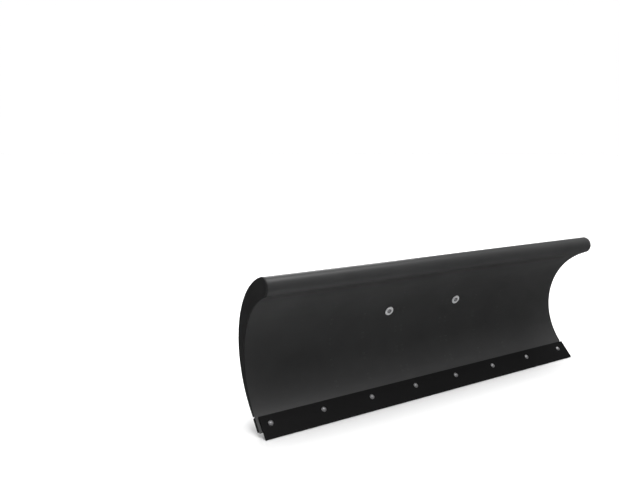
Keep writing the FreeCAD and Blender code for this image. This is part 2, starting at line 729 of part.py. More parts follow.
def head_plate(z_low):
    """Clevis plate, round about the kingpin and square at the flange."""
    nose = upright_rod(HEAD_NOSE_RADIUS, z_low, z_low + HEAD_PLATE, 0, KINGPIN_Y)
    points = [
        Vector(HEAD_NOSE_RADIUS, KINGPIN_Y, 0),
        Vector(HEAD_HALF_WIDTH, FLANGE_FRONT, 0),
        Vector(-HEAD_HALF_WIDTH, FLANGE_FRONT, 0),
    ]
    body = slab(outline(Vector(-HEAD_NOSE_RADIUS, KINGPIN_Y, 0), points), z_low, HEAD_PLATE)
    solid = body.fuse(nose)
    kingpin_hole = KINGPIN_RADIUS + RUNNING_GAP
    solid = solid.cut(upright_rod(kingpin_hole, z_low, z_low + HEAD_PLATE, 0, KINGPIN_Y))
    lock_hole = upright_rod(LOCK_HOLE_RADIUS, z_low, z_low + HEAD_PLATE, 0, LOCK_Y)
    return solid.cut(lock_hole).removeSplitter()


def head_flange():
    corner = Vector(-FLANGE_HALF_WIDTH, FLANGE_FRONT, HINGE_Z - FLANGE_HALF_HEIGHT)
    size = (2 * FLANGE_HALF_WIDTH, FLANGE_THICKNESS, 2 * FLANGE_HALF_HEIGHT)
    solid = Part.makeBox(*size, corner)
    upright = [edge for edge in solid.Edges if abs(edge.Length - FLANGE_THICKNESS) < 0.01]
    solid = solid.makeFillet(FLANGE_CORNER, upright)
    places = [
        Vector(x, FLANGE_FRONT, HINGE_Z + z)
        for x in (-FLANGE_BOLT_X, FLANGE_BOLT_X)
        for z in (-FLANGE_BOLT_Z, FLANGE_BOLT_Z)
    ]
    return drilled(solid, places, Y_AXIS, FLANGE_HOLE_RADIUS)


def head_gussets():
    """Triangles that brace the flange above and below the clevis plates."""
    gussets = []
    for up, level in ((1, HOUSING_BASE), (-1, CLEVIS_BOTTOM - HEAD_PLATE)):
        corner = yz(FLANGE_FRONT, level)
        points = [
            yz(FLANGE_FRONT, level + up * GUSSET_HEIGHT),
            yz(FLANGE_FRONT - GUSSET_LENGTH, level),
        ]
        for side in (-1, 1):
            gussets.append(plate(outline(corner, points), side * GUSSET_X, GUSSET_THICKNESS))
    node("head_gussets", *gussets)


def kingpin():
    """Kingpin bolt through both clevis plates, with its washers and nut."""
    top = CLEVIS_TOP + HEAD_PLATE
    bottom = CLEVIS_BOTTOM - HEAD_PLATE
    down = Z_AXIS * -1
    upper = Vector(0, KINGPIN_Y, top)
    lower = Vector(0, KINGPIN_Y, bottom)
    hole = KINGPIN_RADIUS + RUNNING_GAP
    washers = [
        washer(KINGPIN_WASHER_RADIUS, hole, base, direction, KINGPIN_WASHER)
        for base, direction in ((upper, Z_AXIS), (lower, down))
    ]
    seat = upper + Z_AXIS * KINGPIN_WASHER
    node("kingpin", hex_bolt(KINGPIN_RADIUS, seat, down, top - bottom + KINGPIN_END))
    node("kingpin_washers", *washers)
    node("kingpin_nut", nut(KINGPIN_RADIUS, lower + down * KINGPIN_WASHER, down))


def lock_housing():
    shell = upright_rod(HOUSING_RADIUS, HOUSING_BASE, HOUSING_TOP, 0, LOCK_Y)
    chamber = upright_rod(HOUSING_BORE, HOUSING_BASE, HOUSING_TOP - HOUSING_CAP, 0, LOCK_Y)
    guide = upright_rod(LOCK_PIN_RADIUS + RUNNING_GAP, HOUSING_BASE, HOUSING_TOP, 0, LOCK_Y)
    return shell.cut(chamber).cut(guide)


def lock_spring():
    low = SPRING_TOP - LOCK_SPRING_LENGTH
    outer = upright_rod(COLLAR_RADIUS - LOCK_SPRING_GAP, low, SPRING_TOP, 0, LOCK_Y)
    return outer.cut(upright_rod(LOCK_PIN_RADIUS + 1, low, SPRING_TOP, 0, LOCK_Y))


def lock_pin():
    """Pin with the collar that its spring presses on and a rounded lower end."""
    top = HANDLE_Z + HANDLE_RADIUS + HANDLE_GAP
    pin = eased_rod(LOCK_PIN_RADIUS, PIN_TIP, top, 0, LOCK_Y)
    collar = upright_rod(COLLAR_RADIUS, COLLAR_TOP - COLLAR_THICKNESS, COLLAR_TOP, 0, LOCK_Y)
    grip = yz(LOCK_Y, HANDLE_Z)
    grip_hole = cross_rod(HANDLE_RADIUS, -HANDLE_HALF_LENGTH, HANDLE_HALF_LENGTH, grip)
    return pin.fuse(collar).cut(grip_hole)


def lock_handle():
    """T-bar through the top of the lock pin, with rounded ends."""
    centre = yz(LOCK_Y, HANDLE_Z)
    bar = cross_rod(HANDLE_RADIUS, -HANDLE_HALF_LENGTH, HANDLE_HALF_LENGTH, centre)
    left_ball = Part.makeSphere(HANDLE_BALL, centre - X_AXIS * HANDLE_HALF_LENGTH)
    right_ball = Part.makeSphere(HANDLE_BALL, centre + X_AXIS * HANDLE_HALF_LENGTH)
    return bar.fuse([left_ball, right_ball])


def skid_socket(side):
    x = side * RIB_OUTER_X
    shell = upright_rod(SOCKET_RADIUS, SOCKET_BOTTOM, SOCKET_TOP, x, SKID_Y)
    bore = upright_rod(STEM_RADIUS + RUNNING_GAP, SOCKET_BOTTOM, SOCKET_TOP, x, SKID_Y)
    middle = (SOCKET_BOTTOM + SOCKET_TOP) / 2
    clamp = rod(M10, Vector(x, SKID_Y, middle), Y_AXIS, 2 * SOCKET_RADIUS)
    return shell.cut(bore).cut(clamp)


def skid_clamps():
    """Set bolts that clamp the stems, each through a nut on the back of its socket."""
    middle = (SOCKET_BOTTOM + SOCKET_TOP) / 2
    bolts = []
    nuts = []
    reach = SOCKET_RADIUS + CLAMP_STANDOFF
    for side in (-1, 1):
        axis = Vector(side * RIB_OUTER_X, SKID_Y, middle)
        seat = axis + Y_AXIS * reach
        bolts.append(hex_bolt(M10, seat, Y_AXIS * -1, reach - STEM_RADIUS - CLAMP_GAP))
        nuts.append(nut(M10, axis + Y_AXIS * SOCKET_RADIUS, Y_AXIS))
    node("skid_clamp_bolts", *bolts)
    node("skid_clamp_nuts", *nuts)


def skid_shoe(side):
    """Cast dish with a flat foot, an upturned rim and a hub for the stem."""
    x = side * RIB_OUTER_X
    steps = [
        Vector(SHOE_FOOT, 0, 0),
        (SHOE_FLARE, Vector(SHOE_RADIUS, 0, SHOE_RIM_LOW)),
        Vector(SHOE_RADIUS - SHOE_RIM_WIDTH, 0, SHOE_RIM_HIGH),
        (SHOE_DISH, Vector(SHOE_HUB, 0, SHOE_HUB_ROOT)),
        Vector(SHOE_HUB, 0, SHOE_HEIGHT),
        Vector(0, 0, SHOE_HEIGHT),
    ]
    solid = outline(Vector(0, 0, 0), steps).revolve(Vector(0, 0, 0), Z_AXIS, 360)
    solid.translate(Vector(x, SKID_Y, 0))
    return solid.cut(upright_rod(STEM_RADIUS, STEM_BOTTOM, SHOE_HEIGHT, x, SKID_Y))


def skid_stem(side):
    x = side * RIB_OUTER_X
    stem = eased_rod(STEM_RADIUS, STEM_BOTTOM, STEM_TOP, x, SKID_Y)
    return stem.cut(cross_rod(CLIP_RADIUS, x - SHOE_HUB, x + SHOE_HUB, yz(SKID_Y, CLIP_Z)))


def skid_clip(side):
    """Linch pin across the top of a stem, with its pull ring."""
    x = side * RIB_OUTER_X
    centre = yz(SKID_Y, CLIP_Z)
    outer = x + side * CLIP_REACH_OUT
    pin = cross_rod(CLIP_RADIUS, x - side * CLIP_REACH_IN, outer, centre)
    head = cross_rod(CLIP_HEAD_RADIUS, outer - side * CLIP_HEAD, outer, centre)
    ring_centre = centre + Vector(outer - side * CLIP_HEAD / 2, 0, CLIP_RING)
    loop = ring(ring_centre, X_AXIS, CLIP_RING, CLIP_RING_WIRE)
    return pin.fuse([head, loop])


def blade():
    node("moldboard", moldboard())
    node_pair("end_plate", end_plate)
    node("wear_bar", wear_bar())
    node("backing_bar", backing_bar())
    wear_bolts()
    ribs()
    face_fasteners()
    trip_pins()
    node_pair("skid_socket", skid_socket)
    skid_clamps()


def swivel():
    node("swivel_tube", swivel_tube())
    tube_caps()
    node("swivel_lugs", swivel_lug(-1), swivel_lug(1))
    node("sector_plate", sector_plate())
    node("kingpin_hub", kingpin_hub())
    spring_tabs()


def head():
    node("head_top_plate", head_plate(CLEVIS_TOP))
    node("head_bottom_plate", head_plate(CLEVIS_BOTTOM - HEAD_PLATE))
    node("head_flange", head_flange())
    head_gussets()
    kingpin()
    node("lock_housing", lock_housing())
    node("lock_spring", lock_spring())
    node("lock_pin", lock_pin())
    node("lock_handle", lock_handle())


def skids():
    node_pair("skid_shoe", skid_shoe)
    node_pair("skid_stem", skid_stem)
    node_pair("skid_clip", skid_clip)


def export():
    os.makedirs("parts", exist_ok=True)
    for name, solids in NODES.items():
        shape = solids[0] if len(solids) == 1 else Part.makeCompound(list(solids))
        if not shape.isValid():
            raise ValueError(f"{name} is not a valid shape")
        shape.translate(CENTRE_SHIFT)
        shape.exportStep(f"parts/{name}.step")


blade()
trip_springs()
swivel()
head()
skids()
export()
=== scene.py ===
import bpy
import bmesh
import json
import math
from mathutils import Matrix, Vector


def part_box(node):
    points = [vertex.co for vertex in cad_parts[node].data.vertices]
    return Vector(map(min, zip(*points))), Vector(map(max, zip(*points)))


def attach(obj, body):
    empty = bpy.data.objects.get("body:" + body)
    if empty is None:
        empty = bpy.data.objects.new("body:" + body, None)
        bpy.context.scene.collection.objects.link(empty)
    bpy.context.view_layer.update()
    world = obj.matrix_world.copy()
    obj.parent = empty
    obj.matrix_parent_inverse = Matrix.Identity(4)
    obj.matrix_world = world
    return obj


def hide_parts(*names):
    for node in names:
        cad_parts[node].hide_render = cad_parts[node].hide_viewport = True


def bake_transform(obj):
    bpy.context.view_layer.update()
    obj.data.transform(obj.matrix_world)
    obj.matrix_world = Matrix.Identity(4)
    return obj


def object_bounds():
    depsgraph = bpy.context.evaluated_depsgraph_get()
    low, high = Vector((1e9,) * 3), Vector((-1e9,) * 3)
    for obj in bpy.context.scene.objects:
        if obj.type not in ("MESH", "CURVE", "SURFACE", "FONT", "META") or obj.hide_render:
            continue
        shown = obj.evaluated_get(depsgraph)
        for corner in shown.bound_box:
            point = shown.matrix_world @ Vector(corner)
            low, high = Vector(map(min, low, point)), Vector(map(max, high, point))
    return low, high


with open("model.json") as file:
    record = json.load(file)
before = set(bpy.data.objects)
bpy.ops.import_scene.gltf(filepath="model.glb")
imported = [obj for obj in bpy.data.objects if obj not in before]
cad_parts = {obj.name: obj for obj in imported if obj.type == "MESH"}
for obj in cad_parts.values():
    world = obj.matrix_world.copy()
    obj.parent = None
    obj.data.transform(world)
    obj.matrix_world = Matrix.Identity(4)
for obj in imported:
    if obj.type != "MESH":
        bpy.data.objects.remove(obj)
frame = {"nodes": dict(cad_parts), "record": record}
cad_low, cad_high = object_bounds()

MM = 0.001
X_AXIS = Vector((1, 0, 0))
Y_AXIS = Vector((0, 1, 0))
Z_AXIS = Vector((0, 0, 1))


# ---------------------------------------------------------------- reading the frame

def middle(node):
    low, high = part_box(node)
    return (low + high) / 2


def joint(name):
    return next(j for j in frame["record"]["behaviour"]["joints"] if j["name"] == name)


def at(point, x):
    """Point of the side view, at a place along the blade."""
    return Vector((x, point.y, point.z))


def side_view(angle):
    """Unit direction across the blade, at an angle in radians above straight back."""
    return Vector((0, math.cos(angle), math.sin(angle)))


HINGE = Vector(joint("trip_hinge")["pos_m"])
KINGPIN = Vector(joint("angle_pivot")["pos_m"])
SPRING_UPPER = Vector(joint("spring_swing")["pos_m"])
SPRING_LINE = Vector(joint("spring_stretch")["axis"])
SPRING_LOWER = at(middle("spring_tab_bolts"), 0)
SPRING_X = middle("spring_coil_right").x
SKID_X = middle("skid_stem_right").x
SKID_Y = middle("skid_stem_right").y
LOCK = middle("lock_pin")


# ---------------------------------------------------------------- section of the blade

LEAN = math.radians(45)
WEAR_THICKNESS = 6 * MM
SHEET = 3 * MM
SHEET_START = 27 * MM
ARC_START = 80.5 * MM
ARC_RADIUS = 265.5 * MM
REAR_RADIUS = ARC_RADIUS + SHEET
ARC_TOP = math.radians(69)
ROLL_RADIUS = 33 * MM
ROLL_END = math.radians(-35)
BOLT_HEIGHT = 50 * MM
UP_BAR = side_view(math.pi / 2 - LEAN)
THROUGH_BAR = side_view(-LEAN)

BAR_CORNER = Vector((0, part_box("wear_bar")[0].y, WEAR_THICKNESS * math.sin(LEAN)))
board_low, board_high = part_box("moldboard")


def on_bar(up, through, x=0.0):
    """Point a distance up the wear bar's face and a distance behind that face."""
    return BAR_CORNER + UP_BAR * up + THROUGH_BAR * through + X_AXIS * x


ARC_CENTRE = on_bar(ARC_START, WEAR_THICKNESS) - THROUGH_BAR * ARC_RADIUS
ROLL_CENTRE = ARC_CENTRE + side_view(ARC_TOP) * (ARC_RADIUS + ROLL_RADIUS)


def on_face(radius, angle, x=0.0):
    return ARC_CENTRE + side_view(angle) * radius + X_AXIS * x


def arc_points(centre, radius, start, end, count):
    """Points along an arc, its start left out."""
    turn = (end - start) / count
    return [centre + side_view(start + turn * (i + 1)) * radius for i in range(count)]


# ---------------------------------------------------------------- materials

def new_material(name):
    material = bpy.data.materials.new(name)
    material.use_nodes = True
    tree = material.node_tree
    return material, tree, tree.nodes["Principled BSDF"]


def add(tree, kind, settings=None, **values):
    """A node with its settings and unlinked inputs set; links are given as sockets."""
    made = tree.nodes.new(kind)
    for key, value in (settings or {}).items():
        setattr(made, key, value)
    for key, value in values.items():
        socket = made.inputs[key.replace("_", " ")]
        if isinstance(value, bpy.types.NodeSocket):
            tree.links.new(value, socket)
        else:
            socket.default_value = value
    return made


def noise(tree, coords, scale, detail=3.0, stretch=(1, 1, 1)):
    """Noise over the object, its features drawn out along an axis by a small stretch value."""
    mapping = add(tree, "ShaderNodeMapping", Vector=coords)
    mapping.inputs["Scale"].default_value = stretch
    made = add(tree, "ShaderNodeTexNoise", Vector=mapping.outputs[0], Scale=scale, Detail=detail)
    return made.outputs["Fac"]


def spread(tree, value, low, high, start=0.3, end=0.7):
    """Noise value spread between two numbers."""
    made = add(tree, "ShaderNodeMapRange", Value=value)
    made.inputs["From Min"].default_value = start
    made.inputs["From Max"].default_value = end
    made.inputs["To Min"].default_value = low
    made.inputs["To Max"].default_value = high
    return made.outputs["Result"]


def blend_colours(tree, factor, first, second):
    made = add(tree, "ShaderNodeMix", {"data_type": "RGBA"})
    tree.links.new(factor, made.inputs[0])
    for index, colour in ((6, first), (7, second)):
        if isinstance(colour, bpy.types.NodeSocket):
            tree.links.new(colour, made.inputs[index])
        else:
            made.inputs[index].default_value = (*colour, 1)
    return made.outputs[2]


def bumps(tree, heights):
    """Bump nodes chained one on another: each is a height, its strength and its depth."""
    normal = None
    for height, strength, depth in heights:
        made = add(tree, "ShaderNodeBump", Height=height, Strength=strength, Distance=depth)
        if normal is not None:
            tree.links.new(normal, made.inputs["Normal"])
        normal = made.outputs["Normal"]
    return normal


def shade(colour, factor):
    return tuple(min(1.0, c * factor) for c in colour)


def powder_coat(name, colour, rough, peel, dust=0.0, gloss=0.5):
    """Satin powder coat: faint mottle, orange peel, and a little grey dust in soft patches."""
    material, tree, shader = new_material(name)
    shader.inputs["Specular IOR Level"].default_value = gloss
    coords = add(tree, "ShaderNodeTexCoord").outputs["Object"]
    mottle = noise(tree, coords, 7.0, 5.0)
    grain = noise(tree, coords, 620.0, 2.0)
    speckle = noise(tree, coords, 2600.0, 1.0)
    rubbed = noise(tree, coords, 9.0, 6.0, (0.25, 1.0, 1.0))
    base = blend_colours(tree, spread(tree, mottle, 0.0, 1.0), shade(colour, 0.90), shade(colour, 1.10))
    fine = blend_colours(tree, spread(tree, speckle, 0.0, 0.22), base, shade(colour, 1.7))
    dusty = blend_colours(tree, spread(tree, rubbed, 0.0, dust, 0.45, 0.75), fine, (0.16, 0.16, 0.16))
    tree.links.new(dusty, shader.inputs["Base Color"])
    tree.links.new(spread(tree, rubbed, rough - 0.05, rough + 0.06), shader.inputs["Roughness"])
    normal = bumps(tree, [(grain, peel, 0.00012), (speckle, peel * 0.5, 0.00005)])
    tree.links.new(normal, shader.inputs["Normal"])
    return material


def bare_metal(name, colour, rough, brushed=(1, 1, 1), metal=1.0):
    """Plated or bright steel: soft cloudy spangle, fine tool marks and a few duller stains."""
    material, tree, shader = new_material(name)
    coords = add(tree, "ShaderNodeTexCoord").outputs["Object"]
    cloud = noise(tree, coords, 90.0, 4.0)
    marks = noise(tree, coords, 900.0, 2.0, brushed)
    stain = noise(tree, coords, 35.0, 6.0)
    base = blend_colours(tree, spread(tree, cloud, 0.0, 1.0), shade(colour, 0.82), shade(colour, 1.12))
    worn = blend_colours(tree, spread(tree, stain, 0.0, 0.05, 0.5, 0.8), base, (0.25, 0.225, 0.19))
    tree.links.new(worn, shader.inputs["Base Color"])
    tree.links.new(spread(tree, marks, rough - 0.07, rough + 0.10), shader.inputs["Roughness"])
    tree.links.new(bumps(tree, [(marks, 0.06, 0.00006)]), shader.inputs["Normal"])
    shader.inputs["Metallic"].default_value = metal
    return material


def sand_casting(name, colour, rough):
    """Painted casting with a sandy skin."""
    material, tree, shader = new_material(name)
    coords = add(tree, "ShaderNodeTexCoord").outputs["Object"]
    sand = noise(tree, coords, 420.0, 5.0)
    pits = noise(tree, coords, 120.0, 4.0)
    base = blend_colours(tree, spread(tree, pits, 0.0, 1.0), shade(colour, 0.75), shade(colour, 1.35))
    tree.links.new(base, shader.inputs["Base Color"])
    tree.links.new(spread(tree, sand, rough - 0.08, rough + 0.12), shader.inputs["Roughness"])
    normal = bumps(tree, [(pits, 0.35, 0.0006), (sand, 0.4, 0.0003)])
    tree.links.new(normal, shader.inputs["Normal"])
    return material


GREY = (0.0290, 0.0290, 0.0294)
# Darker copy of the grey coat: painted shade, used on the end plates and the backing bar.
END_GREY_PAINTED_SHADE = (0.0165, 0.0165, 0.0167)
BLACK = (0.026, 0.026, 0.0264)
JET = (0.0040, 0.0040, 0.0042)
MATERIALS = {
    "grey_powder_coat": powder_coat("grey_powder_coat", GREY, 0.38, 0.16, 0.0, 0.25),
    "black_powder_coat": powder_coat("black_powder_coat", BLACK, 0.42, 0.22, 0.05),
    "wear_steel": powder_coat("wear_steel", JET, 0.50, 0.20, 0.0, 0.06),
    "zinc_plate": bare_metal("zinc_plate", (0.72, 0.73, 0.75), 0.28),
    "dull_zinc": bare_metal("dull_zinc", (0.74, 0.74, 0.75), 0.45, metal=0.3),
    # Darkened copy of the zinc: painted shade on the bolt heads.
    "zinc_with_painted_shade": bare_metal("zinc_with_painted_shade", (0.23, 0.23, 0.235), 0.36, metal=0.5),
    # The darker copy of the grey coat, as painted shade.
    "coat_with_painted_shade": powder_coat("coat_with_painted_shade", END_GREY_PAINTED_SHADE, 0.50, 0.16, 0.0, 0.12),
    "spring_steel": bare_metal("spring_steel", (0.22, 0.22, 0.225), 0.34, (1, 1, 0.1)),
    "cast_iron": sand_casting("cast_iron", (0.022, 0.022, 0.023), 0.55),
    "cap_plastic": powder_coat("cap_plastic", (0.012, 0.012, 0.012), 0.6, 0.35),
}
SLOT_OF = {row["node"]: row["material_slot"] for row in frame["record"]["subparts"]}


def paint(obj, slot):
    obj.data.materials.clear()
    obj.data.materials.append(MATERIALS[slot])


for node_name, node_object in frame["nodes"].items():
    paint(node_object, SLOT_OF[node_name])


# ---------------------------------------------------------------- mesh helpers

SHARP = math.radians(35)
BODY_OF = {
    node: body
    for body, nodes in frame["record"]["behaviour"]["bodies"].items()
    for node in nodes
}


def finish_mesh(obj, slot, sharp=SHARP):
    """Outward faces, smooth shading with hard edges kept, and the slot's material."""
    work = bmesh.new()
    work.from_mesh(obj.data)
    bmesh.ops.recalc_face_normals(work, faces=work.faces)
    work.to_mesh(obj.data)
    work.free()
    obj.data.shade_smooth()
    obj.data.set_sharp_from_angle(angle=sharp)
    paint(obj, slot)


def mesh_object(name, vertices, faces, slot, sharp=SHARP):
    mesh = bpy.data.meshes.new(name)
    mesh.from_pydata([tuple(v) for v in vertices], [], faces)
    obj = bpy.data.objects.new(name, mesh)
    bpy.context.scene.collection.objects.link(obj)
    finish_mesh(obj, slot, sharp)
    return obj


def soften(obj, width, limit=math.radians(30)):
    """Real rounded edges, by a bevel that is applied to the mesh."""
    modifier = obj.modifiers.new("edges", "BEVEL")
    modifier.width = width
    modifier.segments = 2
    modifier.limit_method = "ANGLE"
    modifier.angle_limit = limit
    modifier.use_clamp_overlap = False
    modifier.harden_normals = True
    depsgraph = bpy.context.evaluated_depsgraph_get()
    mesh = bpy.data.meshes.new_from_object(obj.evaluated_get(depsgraph))
    obj.modifiers.clear()
    obj.data = mesh


def place(obj, body, nodes=()):
    """Give a piece the body it rides on, and hide the nodes it stands for."""
    if nodes:
        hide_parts(*nodes)
    if body:
        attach(obj, body)
    return obj


def eased(node, width):
    """A node's own shape with its edges rounded."""
    mesh = frame["nodes"][node].data.copy()
    work = bmesh.new()
    work.from_mesh(mesh)
    bmesh.ops.remove_doubles(work, verts=work.verts, dist=1e-6)
    bmesh.ops.dissolve_limit(work, angle_limit=math.radians(0.5), verts=work.verts, edges=work.edges)
    work.to_mesh(mesh)
    work.free()
    obj = bpy.data.objects.new(node + "_eased", mesh)
    bpy.context.scene.collection.objects.link(obj)
    finish_mesh(obj, SLOT_OF[node])
    soften(obj, width)
    return place(obj, BODY_OF[node], [node])


def skinned(rings, loop=False):
    """Vertices and faces of a skin over rings of equally many points, its ends closed unless it loops."""
    steps = len(rings[0])
    vertices = [point for ring in rings for point in ring]
    links = [(i, i + 1) for i in range(len(rings) - 1)]
    if loop:
        links.append((len(rings) - 1, 0))
    faces = []
    for near, far in links:
        for step in range(steps):
            after = (step + 1) % steps
            faces.append((
                near * steps + step,
                near * steps + after,
                far * steps + after,
                far * steps + step,
            ))
    if not loop:
        faces.append(tuple(range(steps)))
        faces.append(tuple(range(len(vertices) - steps, len(vertices))))
    return vertices, faces


def merged(shapes):
    vertices = []
    faces = []
    for shape_vertices, shape_faces in shapes:
        start = len(vertices)
        vertices += shape_vertices
        faces += [tuple(index + start for index in face) for face in shape_faces]
    return vertices, faces


def piece(name, shapes, slot, body, nodes=(), sharp=SHARP):
    """One object made of several closed shapes."""
    vertices, faces = merged(shapes)
    return place(mesh_object(name, vertices, faces, slot, sharp), body, nodes)


def ring_of(base, direction, steps, radius_at, height_at):
    """Ring about an axis, its radius and its height each found from the angle."""
    turn = Z_AXIS.rotation_difference(direction).to_matrix()
    points = []
    for step in range(steps):
        angle = 2 * math.pi * step / steps
        radius = radius_at(angle)
        local = Vector((radius * math.cos(angle), radius * math.sin(angle), height_at(angle)))
        points.append(base + turn @ local)
    return points


def turned(profile, base, direction, steps=48, loop=False):
    """Solid of revolution: a list of (radius, height) up from the base along the direction."""
    rings = [
        ring_of(base, direction, steps, lambda angle, r=radius: r, lambda angle, z=height: z)
        for radius, height in profile
    ]
    return skinned(rings, loop)


def rounded(profile, edge):
    """A closed profile with its corners rounded off."""
    steps = 3
    points = [Vector(p) for p in profile]
    result = []
    for index, corner in enumerate(points):
        before = points[index - 1] - corner
        after = points[(index + 1) % len(points)] - corner
        reach = min(edge, before.length * 0.45, after.length * 0.45)
        start = corner + before.normalized() * reach
        end = corner + after.normalized() * reach
        for step in range(steps + 1):
            t = step / steps
            result.append((1 - t) ** 2 * start + 2 * t * (1 - t) * corner + t * t * end)
    return [(p.x, p.y) for p in result]


ROD_SIDES = 10


def swept(points, radii, closed=False):
    """Rod along a path, its rings carried round each bend without twisting."""
    count = len(points)
    tangents = []
    for index in range(count):
        if closed:
            step = points[(index + 1) % count] - points[index - 1]
        else:
            step = points[min(index + 1, count - 1)] - points[max(index - 1, 0)]
        tangents.append(step.normalized())
    across = tangents[0].orthogonal().normalized()
    rings = []
    for index, (point, tangent) in enumerate(zip(points, tangents)):
        if index:
            across = tangents[index - 1].rotation_difference(tangent) @ across
            across = (across - tangent * across.dot(tangent)).normalized()
        other = tangent.cross(across)
        radius = radii[index] if isinstance(radii, list) else radii
        rings.append([
            point + (across * math.cos(a) + other * math.sin(a)) * radius
            for a in (2 * math.pi * side / ROD_SIDES for side in range(ROD_SIDES))
        ])
    return skinned(rings, closed)


def smooth_path(points, steps=8):
    """Catmull-Rom curve through the points."""
    padded = [points[0] * 2 - points[1], *points, points[-1] * 2 - points[-2]]
    path = []
    for index in range(1, len(padded) - 2):
        a, b, c, d = padded[index - 1:index + 3]
        for step in range(steps):
            t = step / steps
            path.append((
                b * 2 + (c - a) * t + (a * 2 - b * 5 + c * 4 - d) * t ** 2
                + (b * 3 - a - c * 3 + d) * t ** 3
            ) / 2)
    path.append(points[-1])
    return path


# ---------------------------------------------------------------- fasteners

HEX_FLATS = 1.7
NUT_HEIGHT = 0.85
HEAD_HEIGHT = 1.3
M8 = 4 * MM
M10 = 5 * MM
PITCH = {M8: 1.25 * MM, M10: 1.5 * MM}
COARSE_PITCH = 2.5 * MM
TURN_DOWN = math.tan(math.radians(28))
HEX_STEPS = 72
HEX_CROWN = 0.475
HEX_DISH = 0.72
COUNTERSINK = 0.7 * MM
THREAD_DEPTH = 0.6
THREAD_STEPS = 6


def hex_edge(flats, angle):
    """Reach of a hexagon at an angle, its corners just broken."""
    reach = flats / 2 / math.cos(angle % (math.pi / 3) - math.pi / 6)
    return min(reach, flats / math.sqrt(3) * 0.985)


def hex_block(flats, base, direction, height, bore=0.0, both=False):
    """Hexagonal head or nut: corners turned down to a cone, and a countersunk bore in a nut."""
    circle = flats * HEX_CROWN

    def ring(radius_at, height_at):
        return ring_of(base, direction, HEX_STEPS, radius_at, height_at)

    def cone(angle):
        return (hex_edge(flats, angle) - circle) * TURN_DOWN

    def corner(angle):
        return hex_edge(flats, angle)

    rings = []
    if both:
        rings.append(ring(lambda a: circle, lambda a: 0.0))
        rings.append(ring(corner, cone))
    else:
        rings.append(ring(corner, lambda a: 0.0))
    rings.append(ring(corner, lambda a: height - cone(a)))
    rings.append(ring(lambda a: circle, lambda a: height))
    if bore:
        mouth = bore + COUNTERSINK
        for radius, level in (
            (mouth, height), (bore, height - COUNTERSINK), (bore, COUNTERSINK), (mouth, 0.0),
        ):
            rings.append(ring(lambda a, r=radius: r, lambda a, z=level: z))
        return skinned(rings, loop=True)
    dish = circle * HEX_DISH
    for radius, level in ((dish, height), (dish * 0.94, height - 0.35 * MM)):
        rings.append(ring(lambda a, r=radius: r, lambda a, z=level: z))
    return skinned(rings)


ROUND_STEPS = 20


def threaded(radius, pitch, base, direction, start, end):
    """Rod end with a helical thread and a chamfered tip."""
    depth = THREAD_DEPTH * pitch
    count = int((end - start) / pitch * THREAD_STEPS)

    def radius_at(angle, level):
        phase = (level / pitch - angle / (2 * math.pi)) % 1
        groove = min(1.0, max(0.0, 1.3 * (1 - abs(2 * phase - 1)) - 0.15))
        taper = max(0.0, level - (end - pitch * 0.8)) * 0.9
        return radius - max(depth * groove, taper)

    rings = []
    for index in range(count + 1):
        level = start + (end - start) * index / count
        rings.append(ring_of(
            base, direction, ROUND_STEPS,
            lambda a, z=level: radius_at(a, z), lambda a, z=level: z,
        ))
    return skinned(rings)


def bolt_shank(radius, pitch, seat, direction, plain, length):
    """Plain shank from the seat and the thread after it."""
    return [
        turned([(radius, -1 * MM), (radius, plain)], seat, direction, ROUND_STEPS),
        threaded(radius, pitch, seat, direction, plain, length),
    ]


def nut(radius, base, direction, lock=False):
    """Hex nut, or a lock nut with its round collar and nylon ring."""
    flats = 2 * radius * HEX_FLATS
    height = 2 * radius * NUT_HEIGHT
    if not lock:
        return [hex_block(flats, base, direction, height, bore=radius * 0.98, both=True)]
    body = height * 0.72
    collar = [
        (radius * 1.02, body - 0.5 * MM), (flats * 0.46, body - 0.5 * MM), (flats * 0.46, height * 0.88),
        (flats * 0.40, height), (radius * 1.12, height), (radius * 1.02, height * 0.96),
    ]
    return [
        hex_block(flats, base, direction, body, bore=radius * 0.98, both=True),
        turned(rounded(collar, 0.5 * MM), base, direction, loop=True),
    ]


def flat_washer(outer, inner, base, direction, thickness):
    profile = [(inner, 0.0), (outer, 0.0), (outer, thickness), (inner, thickness)]
    return turned(rounded(profile, 0.5 * MM), base, direction, loop=True)


def round_head(radius, height, seat, direction, skirt=0.8 * MM):
    """Low domed head with a short upright skirt."""
    profile = [(radius * 0.96, 0.0), (radius, 0.25 * MM), (radius, skirt * 0.8)]
    rise = height - skirt
    ball = (radius * radius + rise * rise) / (2 * rise)
    for index in range(1, 15):
        reach = radius * (1 - index / 15.2)
        profile.append((reach, height - ball + math.sqrt(ball * ball - reach * reach)))
    return turned(profile, seat, direction)


WEAR_BOLTS = 8
WEAR_BOLT_SPAN = 1448 * MM
WEAR_CLAMP = 27 * MM
WEAR_HEAD_RADIUS = 9.5 * MM
WEAR_HEAD_HEIGHT = 4.5 * MM
WEAR_THREAD = 12 * MM


def wear_fasteners():
    """The row of carriage bolts that holds the wear bar."""
    thread_start = WEAR_CLAMP - 2 * MM
    bolts = []
    nuts = []
    for index in range(WEAR_BOLTS):
        x = WEAR_BOLT_SPAN * (index / (WEAR_BOLTS - 1) - 0.5)
        seat = on_bar(BOLT_HEIGHT, 0, x)
        bolts.append(round_head(WEAR_HEAD_RADIUS, WEAR_HEAD_HEIGHT, seat, -THROUGH_BAR))
        bolts += bolt_shank(M8, PITCH[M8], seat, THROUGH_BAR, thread_start, thread_start + WEAR_THREAD)
        nuts += nut(M8, seat + THROUGH_BAR * WEAR_CLAMP, THROUGH_BAR)
    heads = piece("carriage_bolts", bolts, "zinc_plate", "blade", ["wear_bar_bolts"])
    # The wear bolts' heads take the darkened zinc: painted shade.
    paint(heads, "zinc_with_painted_shade")
    piece("carriage_bolt_nuts", nuts, "zinc_plate", "blade", ["wear_bar_nuts"])


